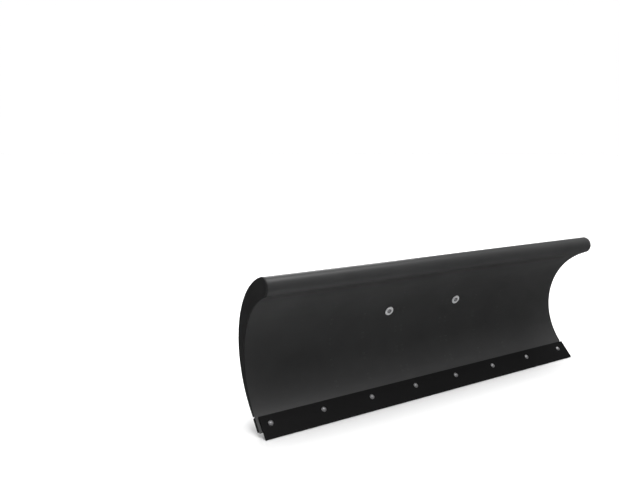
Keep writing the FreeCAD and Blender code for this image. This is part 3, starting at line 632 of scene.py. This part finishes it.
FACE_BOLT_ANGLE = math.radians(17.4)
FACE_WASHER = 18 * MM
FACE_WASHER_THICKNESS = 2.5 * MM
FACE_HEAD = 9 * MM
FACE_HEAD_HEIGHT = 4 * MM
FACE_HEAD_SKIRT = 1.4 * MM
FACE_THREAD = 13.5 * MM
BRACKET_PLATE = 6 * MM


def face_fasteners():
    """The two bolts whose heads show on the blade's face."""
    direction = side_view(FACE_BOLT_ANGLE)
    behind = SHEET + BRACKET_PLATE
    bolts = []
    nuts = []
    washers = []
    for x in (-SPRING_X, SPRING_X):
        face = on_face(ARC_RADIUS, FACE_BOLT_ANGLE, x)
        washer_seat = face - direction * (FACE_WASHER ** 2 / (2 * ARC_RADIUS))
        seat = washer_seat - direction * FACE_WASHER_THICKNESS
        washers.append(flat_washer(FACE_WASHER, M10 * 1.1, washer_seat, -direction, FACE_WASHER_THICKNESS))
        bolts.append(round_head(FACE_HEAD, FACE_HEAD_HEIGHT, seat, -direction, FACE_HEAD_SKIRT))
        bolts += bolt_shank(M10, PITCH[M10], seat, direction, behind, behind + FACE_THREAD)
        nuts += nut(M10, face + direction * behind, direction)
    heads = piece("face_bolt_heads", bolts, "zinc_plate", "blade", ["face_bolts"])
    piece("face_bolt_nuts", nuts, "zinc_plate", "blade", ["face_nuts"])
    rings = piece("face_bolt_washers", washers, "zinc_plate", "blade", ["face_washers"])
    # The face bolts' heads take the darkened zinc: painted shade round their domes.
    paint(heads, "zinc_with_painted_shade")
    paint(rings, "dull_zinc")


def cross_bolts(name, body, anchor, half_gap, nodes):
    """The bolt across each pair of spring cheeks, with its lock nut."""
    reach = half_gap + BRACKET_PLATE
    length = 2 * reach + 2.5 * M10
    bolts = []
    nuts = []
    for side in (-1, 1):
        out = X_AXIS * side
        seat = at(anchor, side * (SPRING_X + reach))
        far = at(anchor, side * (SPRING_X - reach))
        bolts.append(hex_block(2 * M10 * HEX_FLATS, seat, out, HEAD_HEIGHT * M10))
        bolts += bolt_shank(M10, PITCH[M10], seat, -out, 2 * reach - 1 * MM, length)
        nuts += nut(M10, far, -out, lock=True)
    piece(name + "_bolts", bolts, "zinc_plate", body, nodes[:1])
    piece(name + "_lock_nuts", nuts, "zinc_plate", body, nodes[1:])


KINGPIN_THREAD = 26 * MM
KINGPIN_WASHER = 18.5 * MM


def kingpin():
    """Kingpin bolt through the clevis, with washers and a lock nut."""
    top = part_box("head_top_plate")[1].z
    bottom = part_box("head_bottom_plate")[0].z
    washer = 3 * MM
    radius = 10 * MM
    bore = radius * 1.01
    upper = Vector((0, KINGPIN.y, top))
    lower = Vector((0, KINGPIN.y, bottom))
    seat = upper + Z_AXIS * washer
    length = top - bottom + KINGPIN_THREAD
    shapes = [hex_block(2 * radius * HEX_FLATS, seat, Z_AXIS, HEAD_HEIGHT * radius)]
    shapes += bolt_shank(radius, COARSE_PITCH, seat, -Z_AXIS, top - bottom + 2 * MM, length)
    piece("kingpin_bolt", shapes, "zinc_plate", "head", ["kingpin"])
    washers = [
        flat_washer(KINGPIN_WASHER, bore, upper, Z_AXIS, washer),
        flat_washer(KINGPIN_WASHER, bore, lower, -Z_AXIS, washer),
    ]
    piece("kingpin_flat_washers", washers, "zinc_plate", "head", ["kingpin_washers"])
    lock_nut = nut(radius, lower - Z_AXIS * washer, -Z_AXIS, lock=True)
    piece("kingpin_lock_nut", lock_nut, "zinc_plate", "head", ["kingpin_nut"])


# ---------------------------------------------------------------- studio

SENSOR = 36.0
LENS = 33.88
CAMERA_AZIMUTH = math.radians(-29.66)
CAMERA_ELEVATION = math.radians(9.5)
CAMERA_DISTANCE = 2.3989
CAMERA_RIGHT = -0.4200
CAMERA_UP = 0.2908


def camera():
    centre = (cad_low + cad_high) / 2
    back = Vector((
        math.sin(CAMERA_AZIMUTH) * math.cos(CAMERA_ELEVATION),
        -math.cos(CAMERA_AZIMUTH) * math.cos(CAMERA_ELEVATION),
        math.sin(CAMERA_ELEVATION),
    ))
    right = Z_AXIS.cross(back).normalized()
    up = back.cross(right)
    data = bpy.data.cameras.new("camera")
    data.lens = LENS
    data.sensor_width = SENSOR
    obj = bpy.data.objects.new("camera", data)
    obj.location = centre + back * CAMERA_DISTANCE + right * CAMERA_RIGHT + up * CAMERA_UP
    obj.rotation_euler = Matrix((right, up, back)).transposed().to_euler()
    bpy.context.scene.collection.objects.link(obj)
    bpy.context.scene.camera = obj


FLOOR_DROP = 0.3 * MM
FLOOR_REACH = 60.0
BACKDROP_RADIUS = 50.0


def floor_and_backdrop():
    """A pale floor, and a plain white dome that only shows as the background."""
    reach = FLOOR_REACH
    corners = [(-reach, -reach, 0), (reach, -reach, 0), (reach, reach, 0), (-reach, reach, 0)]
    floor = mesh_object("floor", corners, [(0, 1, 2, 3)], "cap_plastic")
    floor.location.z = -FLOOR_DROP
    material, _, shader = new_material("floor")
    shader.inputs["Base Color"].default_value = (0.92, 0.92, 0.92, 1)
    shader.inputs["Roughness"].default_value = 0.8
    shader.inputs["Specular IOR Level"].default_value = 0.2
    floor.data.materials[0] = material
    floor.visible_glossy = False
    work = bmesh.new()
    bmesh.ops.create_icosphere(work, subdivisions=5, radius=BACKDROP_RADIUS)
    mesh = bpy.data.meshes.new("backdrop")
    work.to_mesh(mesh)
    work.free()
    dome = bpy.data.objects.new("backdrop", mesh)
    bpy.context.scene.collection.objects.link(dome)
    material, _, shader = new_material("backdrop")
    shader.inputs["Base Color"].default_value = (0, 0, 0, 1)
    shader.inputs["Emission Color"].default_value = (1, 1, 1, 1)
    shader.inputs["Emission Strength"].default_value = 1.0
    mesh.materials.append(material)
    dome.visible_diffuse = False
    dome.visible_glossy = False
    dome.visible_transmission = False
    dome.visible_shadow = False


SKY_LOW = 0.05
SKY_HIGH = 0.8
SUN_POWER = 3.0
SUN_SPREAD = math.radians(45)
SUN_AIM = Vector((-0.18, 0.14, -0.97))
SUN_PLACE = (0, -1, 4)
FILL_POWER = 1.2
FILL_SIZE = (2.6, 0.15)
FILL_PLACE = Vector((0.0, -0.50, 0.004))
FILL_AIM = Vector((0.0, 0.36, 0.47))
FILL_SPREAD = math.radians(40)
REAR_POWER = 70.0
REAR_SIZE = (2.5, 1.5)
REAR_PLACE = Vector((0.8, 2.6, 1.7))


def panel(name, place_at, aim, panel_size, power, beam=math.pi):
    """Soft rectangular light that the camera doesn't see."""
    data = bpy.data.lights.new(name, "AREA")
    data.shape = "RECTANGLE"
    data.size, data.size_y = panel_size
    data.energy = power
    data.spread = beam
    obj = bpy.data.objects.new(name, data)
    obj.location = place_at
    obj.rotation_euler = aim.to_track_quat("-Z", "Y").to_euler()
    obj.visible_camera = False
    bpy.context.scene.collection.objects.link(obj)


def lights():
    """A broad soft sun, a low fill aimed at the curve's top, a rear panel and a pale sky."""
    panel("low_fill", FILL_PLACE, FILL_AIM, FILL_SIZE, FILL_POWER, FILL_SPREAD)
    panel("rear", REAR_PLACE, -REAR_PLACE, REAR_SIZE, REAR_POWER)
    data = bpy.data.lights.new("overhead", "SUN")
    data.energy = SUN_POWER
    data.angle = SUN_SPREAD
    sun = bpy.data.objects.new("overhead", data)
    sun.location = SUN_PLACE
    sun.rotation_euler = SUN_AIM.to_track_quat("-Z", "Y").to_euler()
    bpy.context.scene.collection.objects.link(sun)
    world = bpy.data.worlds.new("studio")
    world.use_nodes = True
    tree = world.node_tree
    background = tree.nodes["Background"]
    background.inputs["Color"].default_value = (1, 1, 1, 1)
    direction = add(tree, "ShaderNodeTexCoord").outputs["Generated"]
    height = add(tree, "ShaderNodeSeparateXYZ", Vector=direction).outputs["Z"]
    tree.links.new(spread(tree, height, SKY_LOW, SKY_HIGH, 0.0, 1.0), background.inputs["Strength"])
    bpy.context.scene.world = world
    bpy.context.scene.view_settings.view_transform = "Standard"


camera()
floor_and_backdrop()
lights()


# ---------------------------------------------------------------- sheet metal

FOLD = math.radians(50)


def moldboard():
    """The bent sheet: flat behind the wear bar, then the arc, then the roll."""
    inner = ROLL_RADIUS - SHEET
    bottom = math.pi + ARC_TOP
    outline = [on_bar(SHEET_START, WEAR_THICKNESS), on_bar(ARC_START, WEAR_THICKNESS)]
    outline += arc_points(ARC_CENTRE, ARC_RADIUS, -LEAN, ARC_TOP, 96)
    outline += arc_points(ROLL_CENTRE, ROLL_RADIUS, bottom, ROLL_END, 72)
    outline += [ROLL_CENTRE + side_view(ROLL_END) * inner]
    outline += arc_points(ROLL_CENTRE, inner, ROLL_END, bottom, 64)
    outline += arc_points(ARC_CENTRE, REAR_RADIUS, ARC_TOP, -LEAN, 96)
    outline += [on_bar(SHEET_START, WEAR_THICKNESS + SHEET)]
    rings = [[at(p, x) for p in outline] for x in (board_low.x, board_high.x)]
    vertices, faces = skinned(rings)
    board = mesh_object("moldboard_sheet", vertices, faces, "grey_powder_coat")
    soften(board, 0.5 * MM, FOLD)
    place(board, "blade", ["moldboard"])


END_REAR_Z = 294 * MM
END_LOWER_RADIUS = 302 * MM


def angle_of(vector):
    return math.atan2(vector.z, vector.y)


def end_outline():
    """Outline of an end plate: two rear arcs, the disc over the roll, and the sheet's front face."""
    rear = Vector((0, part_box("end_plate_left")[1].y, END_REAR_Z))
    gap = ROLL_CENTRE - rear
    upper_radius = (gap.length_squared - ROLL_RADIUS ** 2) / (-2 * (gap.y + ROLL_RADIUS))
    upper_centre = rear - Y_AXIS * upper_radius
    lower_centre = rear - Y_AXIS * END_LOWER_RADIUS
    between = lower_centre - ARC_CENTRE
    along = (between.length_squared + REAR_RADIUS ** 2 - END_LOWER_RADIUS ** 2) / (2 * between.length)
    foot_angle = angle_of(between) - math.acos(along / REAR_RADIUS)
    foot = ARC_CENTRE + side_view(foot_angle) * REAR_RADIUS
    roll_angle = angle_of(ROLL_CENTRE - upper_centre)
    outline = [foot]
    outline += arc_points(lower_centre, END_LOWER_RADIUS, angle_of(foot - lower_centre), 0, 60)
    outline += arc_points(upper_centre, upper_radius, 0, roll_angle, 60)
    outline += arc_points(ROLL_CENTRE, ROLL_RADIUS, roll_angle, math.pi + ARC_TOP, 72)
    outline += arc_points(ARC_CENTRE, ARC_RADIUS, ARC_TOP, foot_angle, 96)
    return outline


def end_plates():
    outline = end_outline()
    for side in ("left", "right"):
        node = "end_plate_" + side
        low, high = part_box(node)
        vertices, faces = skinned([[at(p, x) for p in outline] for x in (low.x, high.x)])
        plate = mesh_object(node + "_disc", vertices, faces, "grey_powder_coat")
        soften(plate, 0.8 * MM, FOLD)
        # The end plates take the darker copy of the grey coat: painted shade on their faces.
        paint(place(plate, "blade", [node]), "coat_with_painted_shade")


moldboard()
end_plates()
EASED = {
    0.8 * MM: [
        "backing_bar", "tie_bar", "head_flange",
        "head_top_plate", "head_bottom_plate", "sector_plate", "swivel_lugs", "swivel_tube_caps",
        "hinge_rib_inner_left", "hinge_rib_inner_right", "hinge_rib_outer_left", "hinge_rib_outer_right",
        "rib_mid_left", "rib_mid_right", "rib_outer_left", "rib_outer_right",
    ],
    0.5 * MM: [
        "wear_bar", "spring_bracket_left", "spring_bracket_right", "spring_tabs", "head_gussets",
        "kingpin_hub", "lock_housing", "skid_socket_left", "skid_socket_right", "swivel_tube",
        "trip_pins", "lock_pin",
    ],
}
for edge, names in EASED.items():
    for name in names:
        eased_piece = eased(name, edge)
        # The backing bar takes the same darker coat: painted shade.
        if name == "backing_bar":
            paint(eased_piece, "coat_with_painted_shade")

wear_fasteners()
face_fasteners()
cross_bolts("upper_cross", "blade", SPRING_UPPER, 16 * MM, ["spring_anchor_bolts", "spring_anchor_nuts"])
cross_bolts("lower_cross", "swivel", SPRING_LOWER, 14 * MM, ["spring_tab_bolts", "spring_tab_nuts"])
kingpin()


# ---------------------------------------------------------------- trip springs

WIRE = 3 * MM
COIL_RADIUS = 14 * MM
HOOK_REACH = 33 * MM
TURNS = 27
TURN_STEPS = 22
UPPER_LOOP = 10.5 * MM
LOWER_LOOP = 12 * MM
LOOP_SPAN = range(70, 331, 12)
WIRE_SHARP = math.radians(70)


def hook(anchor, away, radius, toward_coil):
    """Loop round an anchor bolt, from the side where the wire leaves for the coil to the loop's tip."""
    points = []
    for degrees in LOOP_SPAN:
        angle = math.radians(degrees)
        points.append(anchor + (toward_coil * math.cos(angle) + away * math.sin(angle)) * radius)
    return points


def trip_spring(side, name):
    """Close-wound extension spring with a hook at each end."""
    x = side * SPRING_X
    upper = at(SPRING_UPPER, x)
    lower = at(SPRING_LOWER, x)
    line = SPRING_LINE.normalized()
    across = line.cross(X_AXIS).normalized()
    length = (lower - upper).length - 2 * HOOK_REACH
    coil = []
    steps = TURNS * TURN_STEPS
    for step in range(steps + 1):
        angle = 2 * math.pi * TURNS * step / steps
        offset = across * math.cos(angle) + X_AXIS * math.sin(angle)
        coil.append(upper + line * (HOOK_REACH + length * step / steps) + offset * COIL_RADIUS)
    start = hook(upper, across, UPPER_LOOP, line)
    end = hook(lower, across, LOWER_LOOP, -line)
    along = line * 9 * MM
    aside = across * 2 * MM
    upper_way = smooth_path([start[0], start[0] + along + aside, coil[2], coil[6]])
    lower_way = smooth_path([coil[-7], coil[-3], end[0] - along + aside, end[0]])
    path = list(reversed(start)) + upper_way[1:-1] + coil[6:-6] + lower_way[1:-1] + end
    nodes = ["spring_" + part + "_" + name for part in ("coil", "hook_upper", "hook_lower")]
    spring = piece("trip_spring_" + name, [swept(path, WIRE)], "spring_steel", None, nodes, WIRE_SHARP)
    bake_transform(spring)


trip_spring(-1, "left")
trip_spring(1, "right")


# ---------------------------------------------------------------- pins, clips, handle and shoes

CLIP_WIRE = 1.9 * MM
CLIP_RING = 7 * MM
CLIP_REACH = 14 * MM
# Shares of the reach up the straight leg, degrees round the ring, and mm back and up on the wavy leg.
STRAIGHT_LEG = (-1, -0.5, 0, 0.6, 1)
RING_ANGLES = (165, 120, 75, 30, -15)
WAVY_LEG = ((9, 8), (10.5, 3), (10.5, -3), (8.5, -8), (11, -13))


def hairpin(pin):
    """Hairpin clip: a straight leg through a pin, a loop, and a wavy leg that grips the pin's side."""
    points = [pin + Z_AXIS * (CLIP_REACH * share) for share in STRAIGHT_LEG]
    centre = pin + Y_AXIS * CLIP_RING + Z_AXIS * (CLIP_REACH + 3 * MM)
    points += [centre + side_view(math.radians(degrees)) * CLIP_RING for degrees in RING_ANGLES]
    points += [pin + Vector((0, out * MM, level * MM)) for out, level in WAVY_LEG]
    return swept(smooth_path(points, 6), CLIP_WIRE)


def trip_clips():
    low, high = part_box("trip_pin_clips")
    clips = [hairpin(at(HINGE, x)) for x in (low.x + 2 * MM, high.x - 2 * MM)]
    piece("hairpin_clips", clips, "spring_steel", "blade", ["trip_pin_clips"], WIRE_SHARP)


HANDLE_ROD = 4 * MM


def handle():
    """T-bar of the lock pin with a ball on each end."""
    low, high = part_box("lock_handle")
    ball = (high.z - low.z) / 2
    centre = at((low + high) / 2, 0)
    half = (high.x - low.x) / 2
    neck = math.asin(HANDLE_ROD / ball)
    steps = 18
    profile = []
    for index in range(steps + 1):
        angle = math.pi - (math.pi - neck) * index / steps
        profile.append((max(ball * math.sin(angle), 0.02 * MM), ball + ball * math.cos(angle)))
    profile += [(r, 2 * half - z) for r, z in reversed(profile)]
    piece("lock_tee", [turned(profile, at(centre, -half), X_AXIS)], "zinc_plate", "lock", ["lock_handle"])


POLE = 0.05 * MM
STEM_FOOT = 20 * MM
STEM_EASE = 1.5 * MM
LINCH_RING = 14 * MM
LINCH_WIRE = 1.4 * MM
LINCH_RADIUS = 3 * MM
LINCH_CAP = 5.5 * MM
RING_STEPS = 48
# Radius and height in mm: the sole, the upturned rim, the dished top and the boss with its bore.
SHOE_PROFILE = [
    (0.0, 0.0), (36.0, 0.0), (41.5, 0.9), (46.0, 3.2), (49.4, 6.6), (52.0, 11.0), (52.0, 12.2),
    (50.8, 14.6), (49.0, 15.0), (45.0, 13.9), (40.0, 13.6), (34.0, 14.0), (28.0, 15.2), (22.5, 17.6),
    (18.6, 20.2), (17.0, 23.0), (17.0, 34.6), (16.0, 36.0), (9.5, 36.0), (9.5, 20.0),
]


def skid(side, name):
    """Cast shoe, its stem and the linch pin through the stem's top."""
    body = "skid_" + name
    foot = Vector((side * SKID_X, SKID_Y, 0))
    profile = [(max(r * MM, POLE), z * MM) for r, z in SHOE_PROFILE]
    piece("shoe_" + name, [turned(profile, foot, Z_AXIS, 72)], "cast_iron", body, ["skid_shoe_" + name])
    low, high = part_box("skid_stem_" + name)
    radius = (high.x - low.x) / 2
    stem = [
        (POLE, STEM_FOOT), (radius, STEM_FOOT), (radius, high.z - STEM_EASE),
        (radius - STEM_EASE, high.z), (POLE, high.z),
    ]
    piece("stem_" + name, [turned(stem, foot, Z_AXIS)], "zinc_plate", body, ["skid_stem_" + name])
    clip_low, clip_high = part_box("skid_clip_" + name)
    level = clip_low.z + LINCH_CAP
    start = Vector((clip_low.x if side > 0 else clip_high.x, SKID_Y, level))
    length = clip_high.x - clip_low.x
    head = length - 6 * MM
    pin = [
        (POLE, 0.0), (1.6 * MM, 0.0), (LINCH_RADIUS, 2.2 * MM), (LINCH_RADIUS, head), (5.1 * MM, head),
        (LINCH_CAP, head + 0.4 * MM), (LINCH_CAP, length - 0.8 * MM), (4.7 * MM, length), (POLE, length),
    ]
    centre = Vector((start.x + side * (length - 3 * MM), SKID_Y, level + LINCH_RING))
    loop = []
    for step in range(RING_STEPS):
        angle = 2 * math.pi * step / RING_STEPS
        loop.append(centre + Vector((0, math.sin(angle), math.cos(angle))) * LINCH_RING)
    shapes = [turned(pin, start, X_AXIS * side, 32), swept(loop, LINCH_WIRE, closed=True)]
    piece("linch_pin_" + name, shapes, "spring_steel", body, ["skid_clip_" + name])


def clamp_bolts():
    """Set bolts of the skid sockets, with their jam nuts."""
    low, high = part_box("skid_clamp_bolts")
    nut_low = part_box("skid_clamp_nuts")[0]
    level = middle("skid_clamp_bolts").z
    seat_y = high.y - HEAD_HEIGHT * M10
    bolts = []
    nuts = []
    for x in (-SKID_X, SKID_X):
        seat = Vector((x, seat_y, level))
        bolts.append(hex_block(2 * M10 * HEX_FLATS, seat, Y_AXIS, HEAD_HEIGHT * M10))
        bolts.append(threaded(M10, PITCH[M10], seat, -Y_AXIS, 0.0, seat_y - low.y))
        nuts += nut(M10, Vector((x, nut_low.y, level)), Y_AXIS)
    piece("set_bolts", bolts, "zinc_plate", "blade", ["skid_clamp_bolts"])
    piece("set_bolt_nuts", nuts, "zinc_plate", "blade", ["skid_clamp_nuts"])


trip_clips()
handle()
skid(-1, "left")
skid(1, "right")
clamp_bolts()


# ---------------------------------------------------------------- weld beads

RIPPLE = 2.1 * MM
THIN_BEAD = 2.6 * MM
END_BEAD = 2.8 * MM
HUB_BEAD = 3.0 * MM
FULL_BEAD = 3.2 * MM
WIDE_BEAD = 3.6 * MM
WELD_SHARP = math.radians(60)
CIRCLE_STEPS = 40
# Slow swellings along a bead: each a share of its radius, and a rate in radians a metre.
UNEVEN = ((0.06, 310), (0.04, 770))


def bead(points, radius=FULL_BEAD):
    """Weld bead along a path: overlapping ripples, each swelling and then falling back."""
    lengths = [0.0]
    for index in range(1, len(points)):
        lengths.append(lengths[-1] + (points[index] - points[index - 1]).length)
    total = lengths[-1]
    count = max(6, int(total / RIPPLE * 4))
    path = []
    radii = []
    after = 1
    for step in range(count + 1):
        along = total * step / count
        while after < len(points) - 1 and lengths[after] < along:
            after += 1
        span = lengths[after] - lengths[after - 1]
        share = (along - lengths[after - 1]) / span
        path.append(points[after - 1].lerp(points[after], share))
        phase = (along / RIPPLE) % 1
        drift = sum(swelling * math.sin(along * rate) for swelling, rate in UNEVEN)
        end = min(1.0, (min(along, total - along) + 0.4 * MM) / (radius * 1.3))
        radii.append(radius * (0.86 + 0.16 * (1 - phase) ** 0.7 + drift) * math.sqrt(end))
    return swept(path, radii)


def arc_line(radius, start, end, x):
    """Line along the blade's curved back, at a distance from the arc's centre."""
    count = max(4, int(abs(end - start) * radius / (4 * MM)))
    return [
        at(ARC_CENTRE + side_view(start + (end - start) * i / count) * radius, x)
        for i in range(count + 1)
    ]


def level_circle(centre, radius):
    return [
        centre + Vector((math.cos(a), math.sin(a), 0)) * radius
        for a in (2 * math.pi * i / CIRCLE_STEPS for i in range(CIRCLE_STEPS + 1))
    ]


# A row of stitches is the degrees up the arc where each one starts, and a stitch's length in degrees.
RIB_STITCHES = (-38, -21, -4, 13, 30, 44)
RIB_STITCH = 8
RIB_DEPTH = 40 * MM
TIE_WELD = (math.radians(33.6), math.radians(41.4))
END_STITCHES = (-24, -8, 8, 24, 40)
END_STITCH = 9


def rib_welds():
    """Stitch welds down both sides of each rib, and where the tie bar crosses it."""
    shapes = []
    names = [
        kind + "_" + side
        for kind in ("rib_outer", "rib_mid", "hinge_rib_outer", "hinge_rib_inner")
        for side in ("left", "right")
    ]
    for name in names:
        low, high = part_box(name)
        for x in (low.x, high.x):
            for start in RIB_STITCHES:
                line = arc_line(REAR_RADIUS, math.radians(start), math.radians(start + RIB_STITCH), x)
                shapes.append(bead(line))
            shapes.append(bead(arc_line(REAR_RADIUS + RIB_DEPTH, *TIE_WELD, x), THIN_BEAD))
    piece("rib_welds", shapes, "black_powder_coat", "blade", sharp=WELD_SHARP)


def end_welds():
    """Stitch welds inside the end plates, along the sheet's rear face."""
    shapes = []
    for x in (board_low.x, board_high.x):
        for start in END_STITCHES:
            line = arc_line(REAR_RADIUS, math.radians(start), math.radians(start + END_STITCH), x)
            shapes.append(bead(line, END_BEAD))
    piece("end_plate_welds", shapes, "grey_powder_coat", "blade", sharp=WELD_SHARP)


def socket_welds():
    """Beads where each skid socket stands on its rib."""
    shapes = []
    low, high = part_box("skid_socket_right")
    rib_low, rib_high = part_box("rib_outer_right")
    radius = (high.x - low.x) / 2
    half = (rib_high.x - rib_low.x) / 2
    front = SKID_Y - math.sqrt(radius * radius - half * half)
    for side in (-1, 1):
        for edge in (-half, half):
            x = side * SKID_X + edge
            ends = [Vector((x, front, low.z + 7 * MM)), Vector((x, front, high.z - 7 * MM))]
            shapes.append(bead(ends))
    piece("socket_welds", shapes, "black_powder_coat", "blade", sharp=WELD_SHARP)


LUG_HALF = 10 * MM
TAB_EDGES = (-20 * MM, -14 * MM, 14 * MM, 20 * MM)
TAB_LEVELS = (-13 * MM, 19 * MM)
SECTOR_STITCHES = ((-1, -0.55), (-0.25, 0.25), (0.55, 1))
HUB_RADIUS = 22 * MM


def swivel_welds():
    """Beads round the lugs, the tabs, the sector plate and its hub, on the cross tube."""
    shapes = []
    tube_low, tube_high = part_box("swivel_tube")
    plate_low, plate_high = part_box("sector_plate")
    lug_low, lug_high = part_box("swivel_lugs")
    lug_x = lug_high.x - LUG_HALF
    lug_levels = (lug_low.z + 1 * MM, lug_high.z - 1 * MM)
    for side in (-1, 1):
        for edge in (-LUG_HALF, LUG_HALF):
            x = side * lug_x + edge
            shapes.append(bead([Vector((x, tube_low.y, level)) for level in lug_levels], WIDE_BEAD))
        for edge in TAB_EDGES:
            x = side * SPRING_X + edge
            ends = [Vector((x, tube_high.y, HINGE.z + level)) for level in TAB_LEVELS]
            shapes.append(bead(ends, THIN_BEAD))
    reach = plate_high.x - 3 * MM
    for level in (plate_low.z, plate_high.z):
        for stitch in SECTOR_STITCHES:
            ends = [Vector((reach * share, tube_high.y, level)) for share in stitch]
            shapes.append(bead(ends, WIDE_BEAD))
        hub = level_circle(Vector((0, KINGPIN.y, level)), HUB_RADIUS)
        shapes.append(bead(hub, HUB_BEAD))
    piece("swivel_welds", shapes, "black_powder_coat", "swivel", sharp=WELD_SHARP)


GUSSET = 6 * MM
LOCK_COLLAR = 17 * MM


def head_welds():
    """Beads on the push head: clevis plates, gussets and lock housing."""
    shapes = []
    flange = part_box("head_flange")[0].y
    top_low, top_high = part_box("head_top_plate")
    under_low, under_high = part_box("head_bottom_plate")
    gusset_low, gusset_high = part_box("head_gussets")
    half = top_high.x - 2 * MM
    inside = gusset_high.x - GUSSET
    for level in (top_high.z, top_low.z, under_high.z, under_low.z):
        if level in (top_high.z, under_low.z):
            spans = [(-half, -gusset_high.x), (-inside, inside), (gusset_high.x, half)]
        else:
            spans = [(-half, half)]
        for start, end in spans:
            shapes.append(bead([Vector((start, flange, level)), Vector((end, flange, level))]))
    for side in (-1, 1):
        for x in (gusset_high.x, inside):
            for foot, tip in ((top_high.z, gusset_high.z), (under_low.z, gusset_low.z)):
                up = 1 if tip > foot else -1
                levels = (foot + up * MM, tip - up * 3 * MM)
                rise = [Vector((side * x, flange, level)) for level in levels]
                run = [Vector((side * x, y, foot)) for y in (flange, gusset_low.y + 14 * MM)]
                shapes += [bead(rise, THIN_BEAD), bead(run, THIN_BEAD)]
    collar = level_circle(Vector((0, LOCK.y, top_high.z)), LOCK_COLLAR)
    shapes.append(bead(collar, END_BEAD))
    piece("head_welds", shapes, "black_powder_coat", "head", sharp=WELD_SHARP)


rib_welds()
end_welds()
socket_welds()
swivel_welds()
head_welds()
